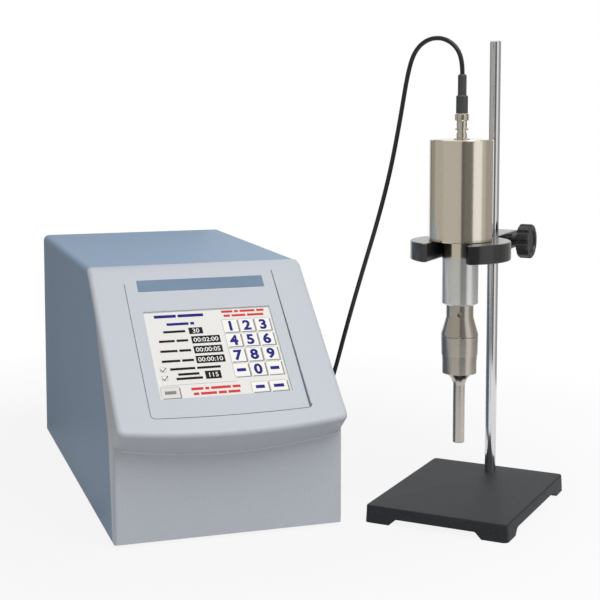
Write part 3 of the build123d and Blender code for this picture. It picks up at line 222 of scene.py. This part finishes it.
moulded("footRubber", paint(38, 38, 40), 0.7, 900.0, 0.00005).dress("rubber_feet", "seal_rings")
moulded("bootRubber", paint(66, 69, 73), 0.55, 1200.0).dress("plug_boot", "rear_plug_boot")

turned("sinkAluminium", paint(196, 198, 200), 0.38, (1.0, 0.03, 1.0)).dress("heat_sink")
moulded("coreFerrite", paint(62, 62, 66), 0.6, 700.0, 0.00006).dress("transformer_core")
winding = Finish("windingCopper", paint(178, 104, 56), 0.3, 0.8)
windings = winding.noise(2400.0, 1.0, (0.05, 0.05, 1.0))
winding.sheen(windings, least=0.15, swing=0.3)
winding.bump(windings, 0.0001)
winding.dress("transformer_coil")
sleeve = Finish("capacitorSleeve", paint(44, 58, 104), 0.3)
sleeve.tone(paint(40, 52, 96), paint(52, 68, 118), sleeve.noise(90.0))
sleeve.dress("filter_capacitors")

blackMoulding = moulded("blackMoulding", paint(42, 43, 45), 0.45)
blackMoulding.dress("fan_frame", "fan_rotor", "mains_inlet", "fuse_drawer", "switch_frame")
moulded("rockerMoulding", paint(34, 35, 37), 0.3, 2600.0, 0.00001).dress("power_rocker")

knobBlack = Finish("knobBlack", paint(36, 36, 39), 0.36)
knobBlack.sheen(knobBlack.noise(300.0), least=0.26, swing=0.2)
knobBlack.bump(knobBlack.noise(1500.0, 1.0), 0.00003)
knobBlack.dress("clamp_knob")

guardWire = Finish("guardPlate", paint(206, 207, 210), 0.16, 1.0)
guardWire.sheen(guardWire.noise(500.0), least=0.1, swing=0.1)
guardWire.dress("fan_guard")

nickel = Finish("nickelPlate", paint(208, 203, 190), 0.22, 1.0)
nickel.tone(paint(196, 190, 176), paint(216, 212, 202), nickel.noise(220.0))
nickel.sheen(nickel.noise(900.0), least=0.14, swing=0.16)
nickel.dress("inlet_pins", "output_socket", "converter_socket", "plug_body", "rear_plug_body")
nickel.dress("bayonet_nut", "rear_bayonet_nut")

converterSteel = turned("converterSteel", paint(228, 221, 208), 0.17)
converterSteel.dress("converter_housing", "converter_cap", "nose_ring")
turned("driverAluminium", paint(228, 230, 230), 0.24, metallic=0.7).dress("front_driver", "lock_ring")
turned("massSteel", paint(138, 138, 142), 0.35).dress("back_mass")
turned("hornTitanium", paint(190, 184, 176), 0.24).dress("horn", "horn_tip")

ceramic = Finish("firedCeramic", paint(222, 214, 190), 0.35)
ceramic.tone(paint(208, 198, 170), paint(230, 224, 204), ceramic.noise(180.0))
ceramic.dress("crystal_rings")

# anodised clamp: drawn lines under a thin clear coat
anodised = {"Specular_IOR_Level": 0.3, "Coat_Weight": 0.6, "Coat_Roughness": 0.12}
clampBlack = Finish("clampAnodise", paint(34, 34, 37), 0.4, **anodised)
clampBlack.sheen(clampBlack.noise(900.0, 2.0, (0.2, 0.2, 1.0)), least=0.22, swing=0.2)
clampBlack.bump(clampBlack.noise(1800.0, 1.0, (0.2, 0.2, 1.0)), 0.00001)
clampBlack.dress("clamp_body")

# cast base: black paint that dried in fine wrinkles
wrinkle = Finish("wrinklePaint", paint(46, 50, 54), 0.55, Specular_IOR_Level=0.25)
folds = wrinkle.noise(1100.0, 3.0)
wrinkle.tone(paint(31, 34, 38), paint(50, 54, 59), wrinkle.spread(folds, 0.42, 0.62))
wrinkle.sheen(folds, least=0.4, swing=0.3)
wrinkle.bump(folds, 0.0002)
wrinkle.dress("stand_base")

rodChrome = Finish("rodChrome", paint(214, 214, 216), 0.1, 1.0)
rodChrome.sheen(rodChrome.noise(900.0, 2.0, (1.0, 1.0, 0.05)), least=0.06, swing=0.08)
rodChrome.dress("support_rod")
print("finishes on every piece")

# cable from the converter's boot, down behind the generator, to the plug on its rear
cable = {
    "radius": 0.0021,
    "sides": 20,
    "length": 1.0903,
    "colour": paint(26, 27, 29),
    "route": [
        (0.218657, -0.214547, 0.408), (0.218657, -0.214547, 0.420), (0.2146, -0.2097, 0.4336),
        (0.2058, -0.1990, 0.4416), (0.1956, -0.1867, 0.4402), (0.1874, -0.1767, 0.4293),
        (0.1830, -0.1715, 0.4084), (0.1784, -0.1659, 0.3670), (0.1720, -0.1582, 0.3180),
        (0.1634, -0.1478, 0.2698), (0.1523, -0.1344, 0.2176), (0.1418, -0.1216, 0.1651),
        (0.1321, -0.1099, 0.1122), (0.1245, -0.090, 0.072), (0.121, -0.062, 0.038),
        (0.1205, -0.026, 0.012), (0.123, 0.022, 0.0023), (0.129, 0.076, 0.0023),
        (0.138, 0.130, 0.0023), (0.148, 0.182, 0.0023), (0.156, 0.234, 0.0023),
        (0.158, 0.280, 0.0023), (0.151, 0.320, 0.0023), (0.133, 0.348, 0.0023),
        (0.106, 0.361, 0.0023), (0.082, 0.363, 0.0075), (0.066, 0.352, 0.023),
        (0.057, 0.334, 0.042), (0.053, 0.312, 0.056), (0.052, 0.290, 0.062), (0.052, 0.2721, 0.062),
    ],
    "order": 3,
    "pointsPerSpan": 10,
    "bendsFrom": 0.10,
    "bendsTo": 0.40,
}


def lineThrough(route):  # the smooth line that a soft cable takes along its route
    curve = bpy.data.curves.new("cableLine", "CURVE")
    curve.dimensions = "3D"
    spline = curve.splines.new("NURBS")
    spline.points.add(len(route) - 1)
    for point, spot in zip(spline.points, route):
        point.co = (*spot, 1.0)
    spline.order_u = cable["order"]
    spline.use_endpoint_u = True
    curve.resolution_u = cable["pointsPerSpan"]
    holder = bpy.data.objects.new("cableLine", curve)
    scene.collection.objects.link(holder)
    line = [v.co.copy() for v in bpy.data.meshes.new_from_object(holder).vertices]
    bpy.data.objects.remove(holder)
    return line


def tubeAlong(name, line, radius, sides, material):
    shape = bmesh.new()
    heading = (line[1] - line[0]).normalized()
    across = heading.orthogonal().normalized()
    rings = []
    for index, spot in enumerate(line):
        ahead = (line[min(index + 1, len(line) - 1)] - line[max(index - 1, 0)]).normalized()
        across = (heading.rotation_difference(ahead) @ across).normalized()
        heading = ahead
        other = heading.cross(across)
        ring = []
        for step in range(sides):
            angle = 2 * math.pi * step / sides
            ring.append(shape.verts.new(spot + radius * (math.cos(angle) * across + math.sin(angle) * other)))
        rings.append(ring)
    for low, high in zip(rings, rings[1:]):
        for step in range(sides):
            after = (step + 1) % sides
            shape.faces.new((low[step], low[after], high[after], high[step]))
    shape.faces.new(rings[0][::-1])
    shape.faces.new(rings[-1])
    return meshPiece(name, shape, [material], smooth=True)


def meshPiece(name, shape, materials, smooth=False):
    mesh = bpy.data.meshes.new(name)
    shape.to_mesh(mesh)
    shape.free()
    for material in materials:
        mesh.materials.append(material)
    for face in mesh.polygons:
        face.use_smooth = smooth
    piece = bpy.data.objects.new(name, mesh)
    scene.collection.objects.link(piece)
    return piece


jacket = moulded("cableJacket", cable["colour"], 0.42, 2400.0, 0.00001)
cableLine = lineThrough([Vector(spot) for spot in cable["route"]])
cableTube = tubeAlong("converterCable", cableLine, cable["radius"], cable["sides"], jacket.material)
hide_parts("converter_cable")
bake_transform(cableTube)
2 * cable["radius"]
print("cable laid:", len(cableLine), "points")

# the page that the touch screen shows, in shares of the window from its top left corner
page = {
    "origin": Vector((0, -0.09778, 0.22183)),
    "up": Vector((0, 0.74256, 0.66978)),
    "out": Vector((0, -0.66978, 0.74256)),
    "middle": -0.0945,
    "width": 0.1205,
    "height": 0.098,
    "front": -0.0019,
    "ground": paint(236, 234, 230),
    "keyFace": paint(247, 246, 243),
    "keyShade": paint(140, 138, 134),
    "greyKey": paint(226, 225, 222),
    "navy": paint(34, 34, 128),
    "black": paint(20, 20, 22),
    "red": paint(214, 62, 62),
    "line": paint(188, 186, 182),
    # how far each layer lies over the ground, in metres
    "layers": {
        "ground": 0.0, "shade": 0.00003, "rule": 0.00004, "rim": 0.00005,
        "face": 0.00008, "ink": 0.00011, "figure": 0.00012,
    },
    "keyColumns": (0.655, 0.785, 0.915),
    "keyRows": (0.205, 0.375, 0.55, 0.72),
    "keySize": (0.118, 0.150),
    "keyShadow": (0.008, 0.009),
    "keyRim": (0.003, 0.004),
    "keys": ("123", "456", "789", " 0 "),
    "keyFigure": (0.0150, 0.0006),
    "boxes": [
        ("30", 0.377, 0.238, 0.108, 0.075), ("00:02:00", 0.44, 0.345, 0.222, 0.085),
        ("00:00:05", 0.44, 0.46, 0.222, 0.085), ("00:00:10", 0.44, 0.573, 0.222, 0.085),
        ("115", 0.433, 0.75, 0.12, 0.09),
    ],
    "boxFigure": (0.0068, 0.00006),
    "wideKeys": [(0.765, 0.92, 0.13, 0.115), (0.91, 0.92, 0.135, 0.115)],
    "paleKey": (0.085, 0.92, 0.14, 0.12),
    # rows of plain bars stand where words would be: middle, height, bar widths, colour
    "bars": [
        (0.27, 0.055, 0.034, (0.17, 0.20), "navy"), (0.27, 0.150, 0.030, (0.17, 0.03), "navy"),
        (0.78, 0.033, 0.026, (0.09, 0.03, 0.12, 0.06), "red"),
        (0.78, 0.083, 0.026, (0.05, 0.11, 0.13), "red"),
        (0.21, 0.238, 0.026, (0.17,), "black"), (0.19, 0.345, 0.026, (0.12, 0.09), "black"),
        (0.19, 0.460, 0.026, (0.13, 0.09), "black"), (0.19, 0.573, 0.026, (0.14, 0.09), "black"),
        (0.31, 0.665, 0.026, (0.19, 0.18), "black"), (0.25, 0.727, 0.026, (0.16,), "black"),
        (0.25, 0.775, 0.026, (0.20,), "black"), (0.43, 0.895, 0.028, (0.09, 0.03, 0.15, 0.06), "red"),
        (0.43, 0.950, 0.028, (0.04, 0.12, 0.06, 0.09), "red"), (0.765, 0.92, 0.036, (0.07,), "navy"),
        (0.91, 0.92, 0.036, (0.08,), "navy"), (0.085, 0.92, 0.036, (0.085,), "keyShade"),
        (0.655, 0.72, 0.036, (0.07,), "navy"), (0.915, 0.72, 0.036, (0.07,), "navy"),
    ],
    "barGap": 0.014,
    "ticks": [(0.065, 0.665), (0.065, 0.760)],
    "tickRim": (0.044, 0.054),
    "tickFace": (0.038, 0.047),
    "tickStrokes": [
        [(-0.016, -0.004), (-0.004, 0.012), (-0.004, 0.024), (-0.020, 0.004)],
        [(-0.004, 0.012), (0.024, -0.026), (0.028, -0.020), (-0.004, 0.024)],
    ],
    # the upright and the level rule: its place, where it starts and ends, its thickness
    "divider": (0.595, 0.13, 0.80, 0.004),
    "rule": (0.84, 0.03, 0.60, 0.005),
}
inks = ["ground", "keyFace", "keyShade", "greyKey", "navy", "black", "red", "line"]


def screenInk(name, colour):  # a lit display behind a hard coat: a fine dot pattern, hardly seen
    made = Finish("screen" + name.capitalize(), colour, 0.5, Specular_IOR_Level=0.12)
    made.tone(dimmed(colour, 0.95), colour, made.noise(1500.0, 0.0))
    made.feed("Emission Color", colour)
    made.feed("Emission Strength", 0.12)
    return made.material


def onPage(u, v, rise):
    across = Vector((1, 0, 0)) * (u - 0.5) * page["width"]
    upwards = page["up"] * (page["middle"] + (0.5 - v) * page["height"])
    return page["origin"] + across + upwards + page["out"] * (page["front"] + rise)


def patch(shape, corners, layer, ink):
    face = shape.faces.new([shape.verts.new(onPage(u, v, page["layers"][layer])) for u, v in corners])
    face.material_index = inks.index(ink)


def block(shape, u, v, wide, high, layer, ink):
    left, right, upper, lower = u - wide / 2, u + wide / 2, v - high / 2, v + high / 2
    patch(shape, [(left, lower), (right, lower), (right, upper), (left, upper)], layer, ink)


def key(shape, u, v, wide, high, face="keyFace"):  # lit at its upper left, shaded at its lower right
    right, down = page["keyShadow"]
    rimWide, rimHigh = page["keyRim"]
    block(shape, u + right, v + down, wide, high, "shade", "keyShade")
    block(shape, u - rimWide, v - rimHigh, wide, high, "rim", "line")
    block(shape, u, v, wide - rimWide, high - rimHigh, "face", face)


def bars(shape, u, v, high, widths, ink):
    left = u - (sum(widths) + page["barGap"] * (len(widths) - 1)) / 2
    for wide in widths:
        block(shape, left + wide / 2, v, wide, high, "ink", ink)
        left += wide + page["barGap"]


def tick(shape, u, v):
    block(shape, u, v, *page["tickRim"], "rim", "keyShade")
    block(shape, u, v, *page["tickFace"], "face", "keyFace")
    for stroke in page["tickStrokes"]:
        patch(shape, [(u + right, v + down) for right, down in stroke], "ink", "black")


def figures(shape, text, u, v, size, weight, ink):  # plain numbers, laid flat on the page
    curve = bpy.data.curves.new("figures", "FONT")
    curve.body = text
    curve.size = size
    curve.offset = weight
    curve.align_x = "CENTER"
    curve.align_y = "CENTER"
    curve.resolution_u = 4
    holder = bpy.data.objects.new("figures", curve)
    scene.collection.objects.link(holder)
    flat = bpy.data.meshes.new_from_object(holder)
    bpy.data.objects.remove(holder)
    places = [v.co for v in flat.vertices]
    lift = (max(place.y for place in places) + min(place.y for place in places)) / 2
    middle = onPage(u, v, page["layers"]["figure"])
    spots = []
    for place in places:
        spots.append(shape.verts.new(middle + Vector((1, 0, 0)) * place.x + page["up"] * (place.y - lift)))
    for polygon in flat.polygons:
        face = shape.faces.new([spots[index] for index in polygon.vertices])
        face.material_index = inks.index(ink)


def screenPage():
    sheet = bmesh.new()
    block(sheet, 0.5, 0.5, 1.0, 1.0, "ground", "ground")
    for v, row in zip(page["keyRows"], page["keys"]):
        for u, sign in zip(page["keyColumns"], row):
            key(sheet, u, v, *page["keySize"])
            if sign != " ":
                figures(sheet, sign, u, v, *page["keyFigure"], "navy")
    for wideKey in page["wideKeys"]:
        key(sheet, *wideKey)
    key(sheet, *page["paleKey"], "greyKey")
    for text, u, v, wide, high in page["boxes"]:
        block(sheet, u, v, wide, high, "face", "black")
        figures(sheet, text, u, v, *page["boxFigure"], "keyFace")
    for row in page["bars"]:
        bars(sheet, *row)
    for spot in page["ticks"]:
        tick(sheet, *spot)
    u, upper, lower, thick = page["divider"]
    block(sheet, u, (upper + lower) / 2, thick, lower - upper, "rule", "line")
    v, left, right, thick = page["rule"]
    block(sheet, (left + right) / 2, v, right - left, thick, "rule", "line")
    piece = meshPiece("screenPage", sheet, [screenInk(ink, page[ink]) for ink in inks])
    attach(piece, "root")
    print("screen page drawn:", len(piece.data.polygons), "faces")


screenPage()

# stand base: the frame's plate, with its notch cut through under the other two sides as well
base = {
    "spot": Vector((0.238, -0.195, 0.0)),
    "turn": math.radians(45.3),
    "half": 0.0655,
    # one side of the notch, outwards from its half width and up from the floor
    "profile": [(0.002, -0.002), (-0.0045, 0.0045), (-0.008, 0.006)],
    "reach": 0.1,
    "sharpAbove": 0.5,
}


def notchCutter():
    right = [(base["half"] + outwards, z) for outwards, z in base["profile"]]
    left = [(-y, z) for y, z in right]
    outline = left[:1] + right + left[:0:-1]
    along = Vector((math.cos(base["turn"]), math.sin(base["turn"]), 0.0))
    across = Vector((-along.y, along.x, 0.0)) * base["reach"]
    shape = bmesh.new()
    rings = []
    for side in (-1, 1):
        spots = [base["spot"] + along * y + Vector((0, 0, z)) + side * across for y, z in outline]
        rings.append([shape.verts.new(spot) for spot in spots])
    shape.faces.new(rings[0])
    shape.faces.new(rings[1][::-1])
    for step in range(len(outline)):
        after = (step + 1) % len(outline)
        shape.faces.new((rings[0][after], rings[0][step], rings[1][step], rings[1][after]))
    bmesh.ops.recalc_face_normals(shape, faces=shape.faces)
    return meshPiece("notch", shape, [])


def notchedBase():
    plate = nodes["stand_base"]
    whole = bpy.data.objects.new("plate", plate.data.copy())
    whole.matrix_world = plate.matrix_world
    scene.collection.objects.link(whole)
    cut = whole.modifiers.new("notch", "BOOLEAN")
    cut.object = notchCutter()
    cut.solver = "EXACT"
    bpy.context.view_layer.update()
    mesh = bpy.data.meshes.new_from_object(whole.evaluated_get(bpy.context.evaluated_depsgraph_get()))
    bpy.data.objects.remove(cut.object)
    bpy.data.objects.remove(whole)
    shape = bmesh.new()
    shape.from_mesh(mesh)
    for edge in shape.edges:
        edge.smooth = edge.calc_face_angle(0.0) < base["sharpAbove"]
    piece = meshPiece("notchedBase", shape, [wrinkle.material], smooth=True)
    piece.matrix_world = plate.matrix_world
    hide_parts("stand_base")
    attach(piece, "root")


notchedBase()
print("stand base notched")

# lines painted on the bezel: painted shade at the foot and along the brink of the recess's wall, and a
# painted highlight along the edge under the chin
trim = {
    "lift": 0.00006,
    "halfWidth": 0.0725,
    "length": 0.165,
    "depth": 0.0036,
    "corner": 0.004,
    "cornerSteps": 8,
    "bow": 0.0016,
    "bowSteps": 24,
    "line": 0.0009,
    "lineSpots": (0.002, 0.08),
    "edgeLine": 0.0007,
    "edgeFrom": 0.012,
    "edgeStep": 0.018,
    "edgeSpots": 9,
    "chinFrom": 0.125,
    "chinTo": 0.06,
    "chinStep": 0.0004,
    "chinHalf": 0.0965,
    "chinSteps": 48,
    "chinLine": 0.0011,
    "lookFrom": -0.5,
    # the upward part of the surface's normal: below the first it faces down, above the second it stands
    "facesDown": -0.4,
    "stands": -0.2,
}


def ribbon(shape, pairs):
    verts = [(shape.verts.new(first), shape.verts.new(second)) for first, second in pairs]
    for (first, second), (nextFirst, nextSecond) in zip(verts, verts[1:]):
        shape.faces.new((first, second, nextSecond, nextFirst))


def inRecess(x, y, out):
    return page["origin"] + Vector((x, 0, 0)) - page["up"] * y + page["out"] * out


def onSlope(x, y):  # the slope's own face stands over the recess by a depth that grows downwards
    return inRecess(x, y, trim["depth"] * y / trim["length"] + trim["lift"])


def around(side, first, last, reach):  # a quarter turn round a lower corner of the recess
    middle = Vector((side * (trim["halfWidth"] - trim["corner"]), trim["length"] - trim["corner"]))
    steps = trim["cornerSteps"]
    turns = [math.radians(first + (last - first) * step / steps) for step in range(steps + 1)]
    return [middle + reach * Vector((math.cos(turn), math.sin(turn))) for turn in turns]


# painted shade: dark ribbons at the foot of the recess's right wall and along the brink of its left and lower
# edges
def recessShadeLine():
    corner = trim["corner"]
    straight = trim["halfWidth"] - corner
    foot = trim["length"] - corner
    shape = bmesh.new()
    sides = []
    for reach in (corner, corner - trim["line"]):
        spots = [Vector((straight + reach, y)) for y in trim["lineSpots"]] + around(1, 0, 90, reach)
        sides.append([inRecess(spot.x, spot.y, trim["lift"]) for spot in spots])
    ribbon(shape, zip(*sides))
    sides = []
    for reach in (corner, corner + trim["edgeLine"]):
        downs = [trim["edgeFrom"] + step * trim["edgeStep"] for step in range(trim["edgeSpots"])]
        spots = [Vector((-(straight + reach), down)) for down in downs] + around(-1, 180, 90, reach)
        for step in range(1, trim["bowSteps"]):
            x = straight * (step / (trim["bowSteps"] / 2) - 1)
            spots.append(Vector((x, foot + reach + trim["bow"] * (1 - (x / straight) ** 2))))
        spots += around(1, 90, 0, reach)
        sides.append([onSlope(spot.x, spot.y) for spot in spots])
    ribbon(shape, zip(*sides))
    bmesh.ops.recalc_face_normals(shape, faces=shape.faces)
    return shape


def surface(x, z):  # where a level line from the front meets the bezel, and the surface's normal there
    bezel = nodes["front_bezel"]
    inside = bezel.matrix_world.inverted()
    start = inside @ Vector((x, trim["lookFrom"], z))
    met, spot, normal, face = bezel.ray_cast(start, inside.to_3x3() @ Vector((0, 1, 0)))
    return (bezel.matrix_world @ spot, bezel.matrix_world.to_3x3() @ normal) if met else (None, None)


# a painted highlight: a light ribbon laid along where the chin meets the upright front
def chinHighlightEdge():  # where the chin, which faces down, gives way to the upright front
    pairs = []
    for step in range(trim["chinSteps"] + 1):
        x = trim["chinHalf"] * (step / (trim["chinSteps"] / 2) - 1)
        z = trim["chinFrom"]
        facedDown = False
        while z > trim["chinTo"]:
            spot, normal = surface(x, z)
            if spot and facedDown and normal.z > trim["stands"]:
                break
            facedDown = facedDown or bool(spot and normal.z < trim["facesDown"])
            z -= trim["chinStep"]
        upper, upperNormal = surface(x, z)
        lower, lowerNormal = surface(x, z - trim["chinLine"])
        pairs.append((upper + upperNormal * trim["lift"], lower + lowerNormal * trim["lift"]))
    shape = bmesh.new()
    ribbon(shape, pairs)
    return shape


# the painted shade of the recess's lines
shadowLine = Finish("recessShadow", paint(118, 122, 129), 0.6, Specular_IOR_Level=0.1)
shadowLine.sheen(shadowLine.noise(300.0), least=0.55, swing=0.1)
# the painted highlight along the edge under the chin
chinHighlightFinish = Finish("chinHighlightFinish", paint(226, 231, 238), 0.45, Specular_IOR_Level=0.3)
chinHighlightFinish.sheen(chinHighlightFinish.noise(300.0), least=0.4, swing=0.1)
for name, shape, finish in (("recessShadeLine", recessShadeLine(), shadowLine), ("chinHighlightEdge", chinHighlightEdge(), chinHighlightFinish)):
    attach(meshPiece(name, shape, [finish.material]), "root")
print("bezel trimmed")

# floor, light and camera
studio = {
    "floorSize": 4.0,
    "floorTone": (0.5, 0.5, 0.5, 1.0),
    # the floor glows from the first share at the near distance to the second at the far one
    "fadeNear": 0.3,
    "fadeFar": 0.7,
    "glowNear": 0.88,
    "glowFar": 1.0,
    "skyForObjects": 0.34,
    "keyAt": (0.42, -1.12, 1.85),
    "keySize": 1.3,
    "keyPower": 25.5,
    "aim": Vector((0.06, -0.1, 0.15)),
    "cameraAt": (-0.307, -1.337, 0.395),
    "tilt": -5.14,
    "pan": -18.27,
    "lens": 81.0,
    "sensor": 36.0,
    "shift": -0.15,
}


def floorPiece():
    shape = bmesh.new()
    bmesh.ops.create_grid(shape, x_segments=1, y_segments=1, size=studio["floorSize"])
    made = Finish("paleFloor", studio["floorTone"], 0.7)
    glow = made.node("ShaderNodeEmission", {}, {"Color": (1, 1, 1, 1), "Strength": 1.0})
    away = made.node("ShaderNodeVectorMath", {"operation": "LENGTH"}, {0: made.place}, "Value")
    fade = {0: away, 1: studio["fadeNear"], 2: studio["fadeFar"], 3: studio["glowNear"], 4: studio["glowFar"]}
    share = made.seenClearly() * made.node("ShaderNodeMapRange", {}, fade)
    lit = Wire(made, made.shader.outputs[0])
    mixed = made.node("ShaderNodeMixShader", {}, {0: share, 1: lit, 2: glow})
    made.plug(made.tree.nodes["Material Output"].inputs["Surface"], mixed)
    meshPiece("floor", shape, [made.material])


def sky():  # white where it is seen or mirrored, and dimmer where it lights the pieces
    world = bpy.data.worlds.new("studioSky")
    scene.world = world
    world.use_nodes = True
    made = NodeTree(world.node_tree)
    reach = {"Value": made.seenClearly(), "To Min": studio["skyForObjects"], "To Max": 1.0}
    background = made.tree.nodes["Background"]
    made.plug(background.inputs["Strength"], made.node("ShaderNodeMapRange", {}, reach))
    made.plug(background.inputs["Color"], (1, 1, 1, 1))


# screens that only reflections see: they draw the bands on the round metal
screens = {
    "around": Vector((0.2187, -0.2145, 0.0)),
    "distance": 0.55,
    "height": 1.1,
    "degreesPerFace": 6,
    # azimuths in degrees that each screen spans, and how light it is
    "spans": [
        (101, 139, 0.34), (139, 180, 0.5), (180, 244, 0.56), (245, 256, 0.12), (256, 287, 0.2),
        (322, 340, 0.56), (340, 397, 0.41),
    ],
    "warmth": (1.0, 0.97, 0.89),
}


def screen(index, first, last, light):
    shape = bmesh.new()
    steps = max(2, round((last - first) / screens["degreesPerFace"]))
    uprights = []
    for step in range(steps + 1):
        turn = math.radians(first + (last - first) * step / steps)
        foot = screens["around"] + screens["distance"] * Vector((math.cos(turn), math.sin(turn), 0.0))
        head = foot + Vector((0, 0, screens["height"]))
        uprights.append((shape.verts.new(foot), shape.verts.new(head)))
    for (low, high), (nextLow, nextHigh) in zip(uprights, uprights[1:]):
        shape.faces.new((nextLow, low, high, nextHigh))
    name = "screen%d" % index
    made = Finish(name, (0.0, 0.0, 0.0, 1.0), 1.0, Specular_IOR_Level=0.0, Emission_Strength=1.0)
    made.feed("Emission Color", tuple(light * part for part in screens["warmth"]) + (1.0,))
    piece = meshPiece(name, shape, [made.material])
    piece.visible_camera = False
    piece.visible_diffuse = False
    piece.visible_shadow = False
    piece.visible_transmission = False


floorPiece()
sky()
for index, span in enumerate(screens["spans"]):
    screen(index, *span)

lamp = bpy.data.lights.new("keyLight", "AREA")
lamp.size = studio["keySize"]
lamp.energy = studio["keyPower"]
keyLight = bpy.data.objects.new("keyLight", lamp)
keyLight.location = studio["keyAt"]
keyLight.rotation_euler = (studio["aim"] - Vector(studio["keyAt"])).to_track_quat("-Z", "Y").to_euler()
scene.collection.objects.link(keyLight)

lens = bpy.data.cameras.new("camera")
lens.lens = studio["lens"]
lens.sensor_width = studio["sensor"]
lens.shift_y = studio["shift"]
camera = bpy.data.objects.new("camera", lens)
camera.location = studio["cameraAt"]
camera.rotation_euler = (math.radians(90 + studio["tilt"]), 0.0, math.radians(studio["pan"]))
scene.collection.objects.link(camera)
scene.camera = camera
scene.view_settings.view_transform = "Standard"
print("studio set")
